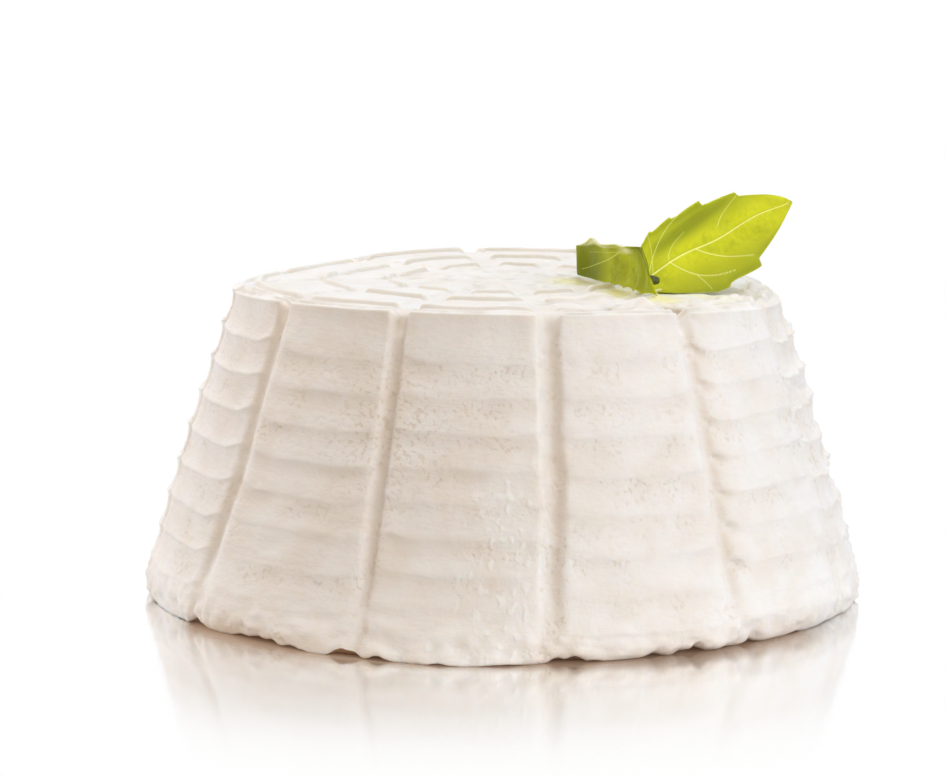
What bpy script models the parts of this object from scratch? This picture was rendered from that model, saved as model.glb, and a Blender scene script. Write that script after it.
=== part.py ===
"""Basket ricotta with a sprig of basil.

A fresh cheese turned out of its draining basket: a truncated cone with the basket's rings printed round
its side as scallops, the basket's twelve ribs pressed into it as grooves, and arcs of ridges on its flat
top.  Two basil leaves and the cut end of their stem lie on the top.

Units are metres, +Z is up and the front of the cheese looks along -Y.  The origin is the middle of the
flat base, on the surface that the cheese stands on.  Azimuths are measured from the front (-Y) towards
the right (+X).
"""
import math

import bmesh
import bpy
import numpy as np
from mathutils import Matrix, Vector

# --- Cheese: overall form -------------------------------------------------------------------------
BASE_RADIUS = 0.0800          # at the lowest lip
TOP_Z = 0.0710                # flat of the top above the base
RIM_RADIUS = 0.0595           # outer edge of the flat top
RIM_CHAMFER = (0.0009, 0.0010)  # outwards, downwards
LIP_RADIUS = 0.0614           # uppermost lip, below the rim
LIP_Z = 0.0698
ROWS = 8                      # scallops between the uppermost and the lowest lip
ROW_PITCH = 0.00780
SCALLOP_STEPS = (0.0, 0.42, 0.76)
SCALLOP_POWER = (2.7, 1.7)    # how hollow the upper and the lower scallops are
FOOT_INSET = 0.0006           # the base edge stands this far inside the lowest lip
TURN_STEPS = 72
SEAM_MERGE = 0.00001
CHEESE_CREASE = math.radians(35.0)     # sharper edges than this are shaded as edges

# --- Cheese: ridges of the top --------------------------------------------------------------------
RIDGE_RADII = (0.0265, 0.0409, 0.0554)
RIDGE_WIDTH = 0.0019
RIDGE_CREST = 0.0008
RIDGE_HEIGHT = 0.0009

# --- Cheese: grooves of the basket's ribs ---------------------------------------------------------
RIBS = 12
RIB_AZIMUTH = math.radians(8.5)
RIB_DEPTH = 0.0015
RIB_HALF_WIDTH = 0.00275
RIB_HALF_THICK = 0.0024
BAND_DEPTH = 0.0005
BAND_HALF_WIDTH = 0.0029
BAND_HALF_THICK = 0.0016
BAND_INNER = 0.0180
BAND_OUTER = 0.0660
CUTTER_SIDES = 12
CUTTER_OVERRUN = 0.0040

# --- Cheese: unevenness ---------------------------------------------------------------------------
RIM_SAGS = (                           # azimuth in degrees, half width in degrees, drop of the rim
    (-90.0, 46.0, 0.0011),
    (-122.0, 28.0, 0.0014),
    (88.0, 46.0, 0.0018),
)
SAG_POWER = 2                          # a sag fades downwards with this power of the height
INWARD_POWER = 4                       # all unevenness fades inwards with this power of the radius
WOBBLE = 0.00035                       # slow waviness of the side
WOBBLE_WAVES = ((3, 1.0, 0.6), (5, 0.6, 2.1), (8, 0.4, 0.0))       # waves round, share, phase
FOOT_LUMP = 0.0004                     # waviness of the base edge
FOOT_WAVES = ((11, 1.0, 0.8), (17, 0.8, 2.4), (26, 0.5, 0.0))      # waves round, share, phase
FOOT_REACH = 0.0065                    # how high the unevenness of the base edge reaches
FOOT_SPREADS = (                       # azimuth in degrees, half width in degrees, outward spread
    (-83.0, 6.0, -0.0020),
    (-47.0, 5.0, -0.0012),
    (-26.0, 6.0, -0.0012),
    (-10.0, 22.0, 0.0038),
    (11.0, 5.0, -0.0012),
    (36.0, 24.0, -0.0026),
    (118.0, 7.0, -0.0020),
    (171.0, 6.0, -0.0018),
    (-142.0, 7.0, -0.0020),
)
AXIS_CLEAR = 1e-6                      # smallest radius that is divided by

# --- Basil ----------------------------------------------------------------------------------------
GAP = 0.0003                           # clearance between pieces that touch
BLADE_THICK = 0.0006
BLADE_STEPS = (17, 6)                  # faces along and across a blade
REST_SPREAD = 0.0022                   # how far beside a ridge a blade that lies on it is still lifted
BLADE_ENDS = (0.012, 0.976)            # share of the outline at the blade's base, and the share to its tip

LARGE_BASE = Vector((0.0305, -0.0210, 0.0737))
LARGE_TIP = Vector((0.0635, -0.0010, 0.0893))
LARGE_LEAN = math.radians(15.0)
LARGE_UPPER = (0.0178, 0.31, 0.66)     # scale, power at the base, power at the tip
LARGE_LOWER = (0.0228, 0.56, 0.80)
LARGE_ARCH = 0.0010
LARGE_CUP = 0.0010
LARGE_CUP_POWER = 0.5
LARGE_CURL = 0.0075

SMALL_TRACK = ((0.0302, -0.0335), (0.0250, -0.0170), (0.0161, 0.0040))
SMALL_HEIGHT = (0.0101, 0.0064)        # blade above the cheese at the stem and at the far end
SMALL_RAKE = 0.06                      # slant of the end at the stem, as a share of the length
SMALL_LEAN = 0.0004
SMALL_BULGE = 0.0007
SMALL_FOLD_FROM = 0.75                 # share of the blade below the fold
SMALL_FOLD_RISE = 0.0018
SMALL_FOLD_REACH = 0.0012
SMALL_FOLD_WAVE = (0.55, 0.45, 3 * math.pi, 1.0)    # mean, swing, turn along the leaf, phase

STEM_RADIUS = 0.0011
STEM_TAPER = 0.92
STEM_LENGTH = 0.0022
STEM_SIDES = 14
STEM_CENTRE = Vector((0.0320, -0.0258, 0.0742))
STEM_TURN = math.radians(12.0)
STEM_EDGE = 0.0002
STEM_EDGE_STEPS = 2
STEM_CREASE = math.radians(50.0)

# --- Colours and gloss ----------------------------------------------------------------------------
CHEESE_LOOK = ((0.87, 0.83, 0.77), 0.45)
LARGE_LEAF_LOOK = ((0.47, 0.53, 0.04), 0.40)
SMALL_LEAF_LOOK = ((0.22, 0.27, 0.03), 0.40)
STEM_LOOK = ((0.11, 0.13, 0.03), 0.50)


# --- Small helpers --------------------------------------------------------------------------------
def clear_scene():
    """Remove every object of the open scene."""
    for old in list(bpy.data.objects):
        bpy.data.objects.remove(old, do_unlink=True)


def new_collection(name):
    """Make a collection of the scene."""
    collection = bpy.data.collections.new(name)
    bpy.context.scene.collection.children.link(collection)
    return collection


def principled(name, look):
    """Make a material with one Principled BSDF from its colour and roughness."""
    colour, roughness = look
    material = bpy.data.materials.new(name)
    material.use_nodes = True
    shader = material.node_tree.nodes["Principled BSDF"]
    shader.inputs["Base Color"].default_value = (*colour, 1.0)
    shader.inputs["Roughness"].default_value = roughness
    return material


def add_object(name, mesh, collection, material=None):
    """Put a mesh into a collection under its part's name."""
    part = bpy.data.objects.new(name, mesh)
    collection.objects.link(part)
    if material is not None:
        mesh.materials.append(material)
    return part


def evaluated_mesh(part):
    """Return a part's mesh with its modifiers applied."""
    bpy.context.view_layer.update()
    graph = bpy.context.evaluated_depsgraph_get()
    return bpy.data.meshes.new_from_object(part.evaluated_get(graph))


def read_points(mesh):
    """Return a mesh's vertices as an array of rows x, y, z."""
    points = np.empty(len(mesh.vertices) * 3)
    mesh.vertices.foreach_get("co", points)
    return points.reshape(-1, 3)


def bump(angle, centre, half_width):
    """A smooth hump of height 1 round the circle, centred on an azimuth."""
    away = np.angle(np.exp(1j * (angle - centre)))
    return np.exp(-((away / half_width) ** 2))


# --- Cheese ---------------------------------------------------------------------------------------
def lip_radius(row):
    """Radius of a lip; the lips lie on a straight cone."""
    return LIP_RADIUS + (BASE_RADIUS - LIP_RADIUS) * row / ROWS


def lip_height(row):
    """Height of a lip."""
    return LIP_Z - ROW_PITCH * row


def top_profile():
    """Profile of the top from its middle out to the rim, with the three ridges."""
    points = [(0.0, TOP_Z)]
    for radius in RIDGE_RADII:
        foot = RIDGE_WIDTH / 2
        crest = RIDGE_CREST / 2
        points.append((radius - foot, TOP_Z))
        points.append((radius - crest, TOP_Z + RIDGE_HEIGHT))
        points.append((radius + crest, TOP_Z + RIDGE_HEIGHT))
        points.append((radius + foot, TOP_Z))
    points.append((RIM_RADIUS, TOP_Z))
    points.append((RIM_RADIUS + RIM_CHAMFER[0], TOP_Z - RIM_CHAMFER[1]))
    return points


def side_profile():
    """Profile of the scalloped side: upright below each lip, then flaring out to the next one."""
    points = []
    for row in range(ROWS):
        share = row / (ROWS - 1)
        power = SCALLOP_POWER[0] * (1 - share) + SCALLOP_POWER[1] * share
        for step in SCALLOP_STEPS:
            flare = (lip_radius(row + 1) - lip_radius(row)) * step ** power
            points.append((lip_radius(row) + flare, lip_height(row) - ROW_PITCH * step))
    points.append((lip_radius(ROWS), lip_height(ROWS)))
    points.append((lip_radius(ROWS) - FOOT_INSET / 2, lip_height(ROWS) / 2))
    points.append((lip_radius(ROWS) - FOOT_INSET, 0.0))
    points.append((0.0, 0.0))
    return points


def turned_cheese():
    """Turn the profile about Z with a Screw modifier and return the finished mesh."""
    profile = top_profile() + side_profile()
    mesh = bpy.data.meshes.new("cheese_profile")
    verts = [(radius, 0.0, height) for radius, height in profile]
    mesh.from_pydata(verts, [(i, i + 1) for i in range(len(verts) - 1)], [])
    guide = bpy.data.objects.new("cheese_profile", mesh)
    bpy.context.scene.collection.objects.link(guide)
    screw = guide.modifiers.new("turn", "SCREW")
    screw.angle = 2 * math.pi
    screw.steps = TURN_STEPS
    screw.render_steps = TURN_STEPS
    screw.use_merge_vertices = True
    screw.merge_threshold = SEAM_MERGE
    turned = evaluated_mesh(guide)
    turned.name = "ricotta"
    bpy.data.objects.remove(guide, do_unlink=True)
    return turned


def waves(angle, table):
    """Sum of sine waves round the circle."""
    return sum(share * np.sin(count * angle + phase) for count, share, phase in table)


def settle(points):
    """Make the turned form uneven: a rim that sags in places, a wavy side and a lumpy, spread base edge."""
    radius = np.hypot(points[:, 0], points[:, 1])
    angle = np.arctan2(points[:, 0], -points[:, 1])
    height = points[:, 2].copy()
    outer = np.clip(radius / RIM_RADIUS, 0.0, 1.0) ** INWARD_POWER
    raised = np.clip(height / TOP_Z, 0.0, 1.0)
    sag = np.zeros_like(height)
    for centre, half_width, drop in RIM_SAGS:
        shape = bump(angle, math.radians(centre), math.radians(half_width))
        sag += drop * shape * outer * raised ** SAG_POWER
    foot = np.clip(1 - height / FOOT_REACH, 0.0, 1.0)
    spread = WOBBLE * waves(angle, WOBBLE_WAVES) + FOOT_LUMP * waves(angle, FOOT_WAVES) * foot
    for centre, half_width, reach in FOOT_SPREADS:
        spread += reach * foot * bump(angle, math.radians(centre), math.radians(half_width))
    spread *= outer
    scale = (radius + spread) / np.maximum(radius, AXIS_CLEAR)
    points[:, 0] *= scale
    points[:, 1] *= scale
    points[:, 2] = height - sag
    return points


def bar_matrix(start, end, azimuth):
    """Place a unit bar along +Z so that it runs from start to end, both given as (radius, height)."""
    outward = Vector((math.sin(azimuth), -math.cos(azimuth), 0.0))
    first = outward * start[0] + Vector((0.0, 0.0, start[1]))
    last = outward * end[0] + Vector((0.0, 0.0, end[1]))
    along = (last - first).normalized()
    across = Vector((0.0, 0.0, 1.0)).cross(outward)
    thick = along.cross(across)
    turn = Matrix((across, thick, along)).transposed().to_4x4()
    return Matrix.Translation((first + last) / 2) @ turn, (last - first).length


def bars(name, start, end, half_width, half_thick, collection):
    """One mesh of twelve bars of oval section, one for each rib of the basket."""
    shape = bmesh.new()
    for rib in range(RIBS):
        place, length = bar_matrix(start, end, RIB_AZIMUTH + rib * 2 * math.pi / RIBS)
        size = Matrix.Diagonal((half_width, half_thick, length, 1.0))
        bmesh.ops.create_cone(shape, cap_ends=True, segments=CUTTER_SIDES, radius1=1.0, radius2=1.0,
                              depth=1.0, matrix=place @ size)
    bmesh.ops.recalc_face_normals(shape, faces=shape.faces)
    mesh = bpy.data.meshes.new(name)
    shape.to_mesh(mesh)
    shape.free()
    cutter = add_object(name, mesh, collection)
    cutter.hide_render = True
    cutter.display_type = "WIRE"
    return cutter


def rib_bars(collection):
    """Bars that press the grooves into the side, parallel to its cone."""
    slope = (BASE_RADIUS - LIP_RADIUS) / (ROWS * ROW_PITCH)
    clear = (RIB_HALF_THICK - RIB_DEPTH) * math.hypot(1.0, slope)
    top = LIP_Z + CUTTER_OVERRUN
    bottom = -CUTTER_OVERRUN
    start = (LIP_RADIUS + slope * (LIP_Z - top) + clear, top)
    end = (LIP_RADIUS + slope * (LIP_Z - bottom) + clear, bottom)
    return bars("rib_bars", start, end, RIB_HALF_WIDTH, RIB_HALF_THICK, collection)


def band_bars(collection):
    """Bars that press the plain bands between the arcs of the top."""
    height = TOP_Z - BAND_DEPTH + BAND_HALF_THICK
    return bars("band_bars", (BAND_INNER, height), (BAND_OUTER, height),
                BAND_HALF_WIDTH, BAND_HALF_THICK, collection)


def add_cut(part, cutter):
    """Cut a part with a hidden cutter."""
    cut = part.modifiers.new(cutter.name, "BOOLEAN")
    cut.operation = "DIFFERENCE"
    cut.solver = "EXACT"
    cut.object = cutter


def make_cheese(parts, cutters):
    """The cheese: turned, settled, and cut by the basket's ribs."""
    mesh = turned_cheese()
    mesh.vertices.foreach_set("co", settle(read_points(mesh)).ravel())
    mesh.shade_smooth()
    mesh.set_sharp_from_angle(angle=CHEESE_CREASE)
    cheese = add_object("ricotta", mesh, parts, principled("fresh_cheese", CHEESE_LOOK))
    add_cut(cheese, rib_bars(cutters))
    add_cut(cheese, band_bars(cutters))
    return cheese


# --- Basil ----------------------------------------------------------------------------------------
def blade_part(name, surface, collection, material):
    """A leaf: an open sheet, surface(along, across), given its thickness by Solidify."""
    along_steps, across_steps = BLADE_STEPS
    along, across = np.meshgrid(np.linspace(0.0, 1.0, along_steps + 1),
                                np.linspace(0.0, 1.0, across_steps + 1), indexing="ij")
    points = surface(along.ravel(), across.ravel())
    row = across_steps + 1
    faces = []
    for i in range(along_steps):
        for j in range(across_steps):
            corner = i * row + j
            faces.append((corner, corner + row, corner + row + 1, corner + 1))
    mesh = bpy.data.meshes.new(name)
    mesh.from_pydata(points.tolist(), [], faces)
    mesh.shade_smooth()
    blade = add_object(name, mesh, collection, material)
    wall = blade.modifiers.new("thickness", "SOLIDIFY")
    wall.thickness = BLADE_THICK
    wall.offset = 0.0
    return blade


def rest_height(x, y):
    """Lowest height of a blade's middle at x, y: clear of the flat top, and lifted over its ridges."""
    radius = np.hypot(x, y)
    lift = sum(np.exp(-((radius - ridge) / REST_SPREAD) ** 2) for ridge in RIDGE_RADII)
    return TOP_Z + GAP + BLADE_THICK / 2 + RIDGE_HEIGHT * lift


def half_width(along, shape):
    """Half width of a leaf: steep at the base, tapering to the tip."""
    scale, base_power, tip_power = shape
    inner = BLADE_ENDS[0] + BLADE_ENDS[1] * along
    return scale * inner ** base_power * (1.0 - inner) ** tip_power


def large_surface(along, across):
    """The large leaf, standing on its lower margin and leaning back, its tip up to the right."""
    axis = (LARGE_TIP - LARGE_BASE).normalized()
    upward = Vector((0.0, 0.0, 1.0))
    upright = (upward - axis * upward.dot(axis)).normalized()
    facing = axis.cross(upright)
    across_axis = upright * math.cos(LARGE_LEAN) - facing * math.sin(LARGE_LEAN)
    front = across_axis.cross(axis) * -1.0
    side = 2.0 * across - 1.0
    upper = np.clip(side, 0.0, 1.0) * half_width(along, LARGE_UPPER)
    lower = np.clip(side, -1.0, 0.0) * half_width(along, LARGE_LOWER)
    arch = LARGE_ARCH * np.sin(math.pi * along)
    cup = LARGE_CUP * np.abs(side) * np.sin(math.pi * along) ** LARGE_CUP_POWER
    curl = LARGE_CURL * np.clip(-side, 0.0, 1.0) ** 2 * np.sin(math.pi * np.sqrt(along))
    points = np.array(LARGE_BASE) + np.outer(along, np.array(LARGE_TIP - LARGE_BASE))
    points += np.outer(upper + lower + arch * (1.0 - np.abs(side)), np.array(across_axis))
    points += np.outer(cup, np.array(front))
    points[:, 1] -= curl
    points[:, 2] = np.maximum(points[:, 2], rest_height(points[:, 0], points[:, 1]))
    return points


def small_surface(along, across):
    """The small leaf, folded along its midrib: a curtain that hangs to the cheese, and a turned-over edge."""
    near, middle, far = (np.array(p) for p in SMALL_TRACK)
    below = np.clip(across / SMALL_FOLD_FROM, 0.0, 1.0)
    raked = along + SMALL_RAKE * below * (1 - along)
    track = (np.outer((1 - raked) ** 2, near) + np.outer(2 * raked * (1 - raked), middle)
             + np.outer(raked ** 2, far))
    heading = far - near
    facing = np.array((-heading[1], heading[0])) / np.hypot(*heading) * -1.0
    height = SMALL_HEIGHT[0] * (1 - along) + SMALL_HEIGHT[1] * along
    above = np.clip((across - SMALL_FOLD_FROM) / (1.0 - SMALL_FOLD_FROM), 0.0, 1.0)
    mean, swing, turn, phase = SMALL_FOLD_WAVE
    hump = mean + swing * np.sin(turn * along + phase)
    depth = SMALL_BULGE * 4 * below * (1 - below) - SMALL_LEAN * below + SMALL_FOLD_REACH * above ** 2
    points = np.empty((along.size, 3))
    points[:, :2] = track + np.outer(depth, -facing)
    points[:, 2] = rest_height(*points[:, :2].T) * (1 - below) + (TOP_Z + GAP) * below
    points[:, 2] += height * below + SMALL_FOLD_RISE * hump * above
    return points


def make_stem(collection, material):
    """The cut end of the stem: a short rod with a rounded edge."""
    shape = bmesh.new()
    turn = Matrix.Rotation(STEM_TURN, 4, "Z") @ Matrix.Rotation(math.radians(90.0), 4, "Y")
    bmesh.ops.create_cone(shape, cap_ends=True, segments=STEM_SIDES, radius1=STEM_RADIUS,
                          radius2=STEM_RADIUS * STEM_TAPER, depth=STEM_LENGTH, matrix=turn)
    mesh = bpy.data.meshes.new("basil_stem")
    shape.to_mesh(mesh)
    shape.free()
    mesh.shade_smooth()
    mesh.set_sharp_from_angle(angle=STEM_CREASE)
    stem = add_object("basil_stem", mesh, collection, material)
    stem.location = STEM_CENTRE
    edge = stem.modifiers.new("edge", "BEVEL")
    edge.width = STEM_EDGE
    edge.segments = STEM_EDGE_STEPS
    return stem


def main():
    """Build the cheese and the sprig that lies on it."""
    clear_scene()
    parts = new_collection("ricotta")
    cutters = new_collection("cutters")
    make_cheese(parts, cutters)
    blade_part("basil_leaf_large", large_surface, parts, principled("basil_green", LARGE_LEAF_LOOK))
    blade_part("basil_leaf_small", small_surface, parts, principled("basil_dark_green", SMALL_LEAF_LOOK))
    make_stem(parts, principled("basil_stem_green", STEM_LOOK))


main()
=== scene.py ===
"""Looks of a basket ricotta with a sprig of basil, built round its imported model.

The cheese is one closed surface on a grid of azimuth by profile: the flat top with its arcs of ridges, the
rim, eight scalloped rows between the basket's ribs, and the crumbly foot.  The basil is two thin blades and
the cut end of their stem.  Units are metres, +Z is up and the front looks along -Y.  Azimuths are measured
from the front towards the right (+X), so a point is at x = r sin(azimuth), y = -r cos(azimuth).
"""

import logging
import math
from dataclasses import dataclass, field
from enum import Enum

import bpy
import numpy as np
from mathutils import Matrix, Vector


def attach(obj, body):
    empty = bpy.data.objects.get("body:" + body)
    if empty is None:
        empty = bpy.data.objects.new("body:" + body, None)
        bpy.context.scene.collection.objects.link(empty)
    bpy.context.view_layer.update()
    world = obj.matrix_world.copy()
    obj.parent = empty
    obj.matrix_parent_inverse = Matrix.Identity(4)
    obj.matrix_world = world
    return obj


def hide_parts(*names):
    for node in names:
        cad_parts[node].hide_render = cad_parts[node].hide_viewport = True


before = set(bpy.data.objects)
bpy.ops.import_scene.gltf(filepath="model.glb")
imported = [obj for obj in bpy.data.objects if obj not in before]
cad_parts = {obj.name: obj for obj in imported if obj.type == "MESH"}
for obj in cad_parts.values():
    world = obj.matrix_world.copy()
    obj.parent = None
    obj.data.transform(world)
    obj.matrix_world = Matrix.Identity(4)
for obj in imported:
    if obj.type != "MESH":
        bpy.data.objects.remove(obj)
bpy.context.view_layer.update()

Array = np.ndarray
Socket = bpy.types.NodeSocket
Colour = tuple[float, float, float]
Point = tuple[float, float, float]
Pair = tuple[float, float]
Triple = tuple[float, float, float]
Surface = tuple[Array, Array, Array]
WHITE: Colour = (1.0, 1.0, 1.0)
BODY = "root"


# --- Arrays and noise -----------------------------------------------------------------------------
def smoothstep(low: float, high: float, value: Array) -> Array:
    """A rise from 0 at low to 1 at high, level at both ends: 3t^2 - 2t^3.

    Args:
        low: value where the rise starts.
        high: value where it ends.
        value: values to look up.

    Returns:
        The share of the rise reached, 0 to 1.
    """
    t = np.clip((value - low) / (high - low), 0.0, 1.0)
    return t * t * (3.0 - 2.0 * t)


def mix(first: Array, second: Array, share: Array) -> Array:
    """Blend two arrays: all of the first at share 0, all of the second at share 1."""
    return first + (second - first) * share


def hump(value: Array, centre: float, half_width: float) -> Array:
    """A bell of height 1: the exponential of minus the squared distance in half widths."""
    return np.exp(-(((value - centre) / half_width) ** 2))


def turn_between(angle: Array, centre: float) -> Array:
    """Signed angle from a centre, in -pi..pi."""
    return np.angle(np.exp(1j * (angle - centre)))


def on_ring(radius: Array | float, azimuth: Array, height: Array | float) -> Array:
    """Points from radius, azimuth and height: x = r sin(azimuth), y = -r cos(azimuth)."""
    x, y = radius * np.sin(azimuth), -radius * np.cos(azimuth)
    return np.stack(np.broadcast_arrays(x, y, height), axis=-1)


def cell_value(cells: Array, seed: int) -> Array:
    """A fixed random number in 0..1 for each whole-numbered cell, by mixing the bits of its indices.

    Args:
        cells: whole numbers, shape (..., 3).
        seed: another seed gives other numbers.

    Returns:
        One number for each cell.
    """
    mask = 0xFFFFFFFF
    value = (cells[..., 0] * 73856093) ^ (cells[..., 1] * 19349663) ^ (cells[..., 2] * 83492791)
    value = (value ^ (seed * 668265263)) & mask
    for _ in range(2):
        value = ((value ^ (value >> 16)) * 0x45D9F3B) & mask
    return (value ^ (value >> 16)) / mask


def smooth_noise(points: Array, cell: float, seed: int) -> Array:
    """Smooth noise in -1..1: the random numbers at the corners of cubic cells, blended by smoothsteps.

    Args:
        points: places, shape (..., 3).
        cell: side of a cell, about the size of a lump.
        seed: picks the pattern.

    Returns:
        The noise at each place.
    """
    scaled = points / cell
    base = np.floor(scaled).astype(np.int64)
    inner = scaled - base
    inner = inner * inner * (3.0 - 2.0 * inner)
    total = np.zeros(points.shape[:-1])
    for corner in np.ndindex(2, 2, 2):
        weight = np.prod(np.where(np.array(corner) == 1, inner, 1.0 - inner), axis=-1)
        total += weight * cell_value(base + np.array(corner), seed)
    return total * 2.0 - 1.0


def rough_noise(points: Array, cell: float, seed: int, octaves: int = 3) -> Array:
    """Noise with finer noise on it: each octave has half the cell and half the height of the last."""
    layers = [smooth_noise(points, cell / 2 ** i, seed + i) / 2 ** i for i in range(octaves)]
    return sum(layers) / sum(0.5 ** i for i in range(octaves))


def curd_noise(points: Array, cell: float, seed: int) -> Array:
    """Rounded lumps: 1 at the middle of each lump, falling to 0 in the clefts between them.

    Each cubic cell holds one random point, and the height is 1 minus the distance to the nearest point.

    Args:
        points: places, shape (..., 3).
        cell: side of a cell, about the spacing of the lumps.
        seed: picks the pattern.

    Returns:
        The height at each place.
    """
    scaled = points / cell
    base = np.floor(scaled).astype(np.int64)
    nearest = np.full(points.shape[:-1], 9.0)
    for step in np.ndindex(3, 3, 3):
        home = base + np.array(step) - 1
        place = np.stack([cell_value(home, seed + axis) for axis in range(3)], axis=-1)
        nearest = np.minimum(nearest, np.sum((home + place - scaled) ** 2, axis=-1))
    return np.clip(1.0 - np.sqrt(nearest), 0.0, 1.0)


@dataclass(frozen=True)
class Waves:
    """Unevenness of a surface: its height, the size of its lumps, its seed and how fine it gets."""

    height: float
    size: float
    seed: int
    octaves: int = 1

    def at(self, points: Array) -> Array:
        """Height at each point, as far up as down."""
        return self.height * rough_noise(points, self.size, self.seed, self.octaves)


@dataclass(frozen=True)
class Curds:
    """Rounded lumps of curd: their height, spacing and seed, and the share of it that counts as level."""

    height: float
    size: float
    seed: int
    level: float = 0.5

    def at(self, points: Array) -> Array:
        """Height at each point above the level, or below it in the clefts."""
        return self.height * (curd_noise(points, self.size, self.seed) - self.level)


def grid_normals(points: Array) -> Array:
    """Unit normals of a grid that is closed along its second side.

    They are the cross product of the steps between neighbouring rows and between neighbouring columns.

    Args:
        points: shape (rows, columns, 3), rows running inwards to outwards and down.

    Returns:
        Outward unit normals of the same shape.
    """
    along = np.roll(points, -1, axis=1) - np.roll(points, 1, axis=1)
    down = np.gradient(points, axis=0)
    normal = np.cross(down, along)
    return normal / np.maximum(np.linalg.norm(normal, axis=-1, keepdims=True), 1e-12)


# --- Meshes and nodes -----------------------------------------------------------------------------
def closed_grid(rows: Array, first: Array, last: Array) -> Surface:
    """A closed surface from rings of points, with a pole at each end.

    Args:
        rows: rings, shape (rows, columns, 3); the surface faces outwards when a ring's points turn
            anticlockwise seen from the first pole.
        first: point that closes the first ring.
        last: point that closes the last ring.

    Returns:
        Vertices, four-cornered faces and three-cornered faces.
    """
    count, columns = rows.shape[:2]
    verts = np.concatenate([rows.reshape(-1, 3), first[None], last[None]])
    start = np.arange(columns)
    after = (start + 1) % columns
    offset = (np.arange(count - 1) * columns)[:, None]
    below = offset + columns
    quads = np.stack([offset + start, below + start, below + after, offset + after], axis=-1).reshape(-1, 4)
    pole = np.full(columns, count * columns)
    end = (count - 1) * columns
    fans = np.concatenate([np.stack([pole, start, after], axis=-1),
                           np.stack([pole + 1, end + after, end + start], axis=-1)])
    return verts, quads, fans


def make_piece(name: str, surface: Surface, finish: bpy.types.Material,
               node: str) -> bpy.types.Object:
    """Put a smooth-shaded surface into the scene as a piece that rides on the object.

    Args:
        name: the piece's name.
        surface: vertices, four-cornered faces and three-cornered faces.
        finish: its material.
        node: the CAD node that it stands for.

    Returns:
        The new object.
    """
    verts, quads, fans = surface
    mesh = bpy.data.meshes.new(name)
    mesh.vertices.add(len(verts))
    mesh.vertices.foreach_set("co", verts.astype(np.float32).ravel())
    mesh.loops.add(quads.size + fans.size)
    mesh.loops.foreach_set("vertex_index", np.concatenate([quads.ravel(), fans.ravel()]).astype(np.int32))
    starts = np.concatenate([np.arange(len(quads)) * 4, quads.size + np.arange(len(fans)) * 3])
    mesh.polygons.add(len(quads) + len(fans))
    mesh.polygons.foreach_set("loop_start", starts.astype(np.int32))
    mesh.update(calc_edges=True)
    mesh.validate()
    mesh.shade_smooth()
    mesh.materials.append(finish)
    piece = bpy.data.objects.new(name, mesh)
    bpy.context.scene.collection.objects.link(piece)
    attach(piece, BODY)
    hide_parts(node)
    return piece


def add_attribute(piece: bpy.types.Object, name: str, values: Array) -> None:
    """Store one number for each vertex under a name that the material reads."""
    layer = piece.data.attributes.new(name, "FLOAT", "POINT")
    layer.data.foreach_set("value", values.astype(np.float32).ravel())


def add_marks(piece: bpy.types.Object, marks: dict[str, Array]) -> None:
    """Store a closed grid's marks as attributes; a pole has the mean of the ring it closes.

    Args:
        piece: the piece, made by closed_grid.
        marks: for each attribute its values on the grid of rings.
    """
    for name, rings in marks.items():
        add_attribute(piece, name, np.concatenate([rings.ravel(), [rings[0].mean(), rings[-1].mean()]]))


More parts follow.
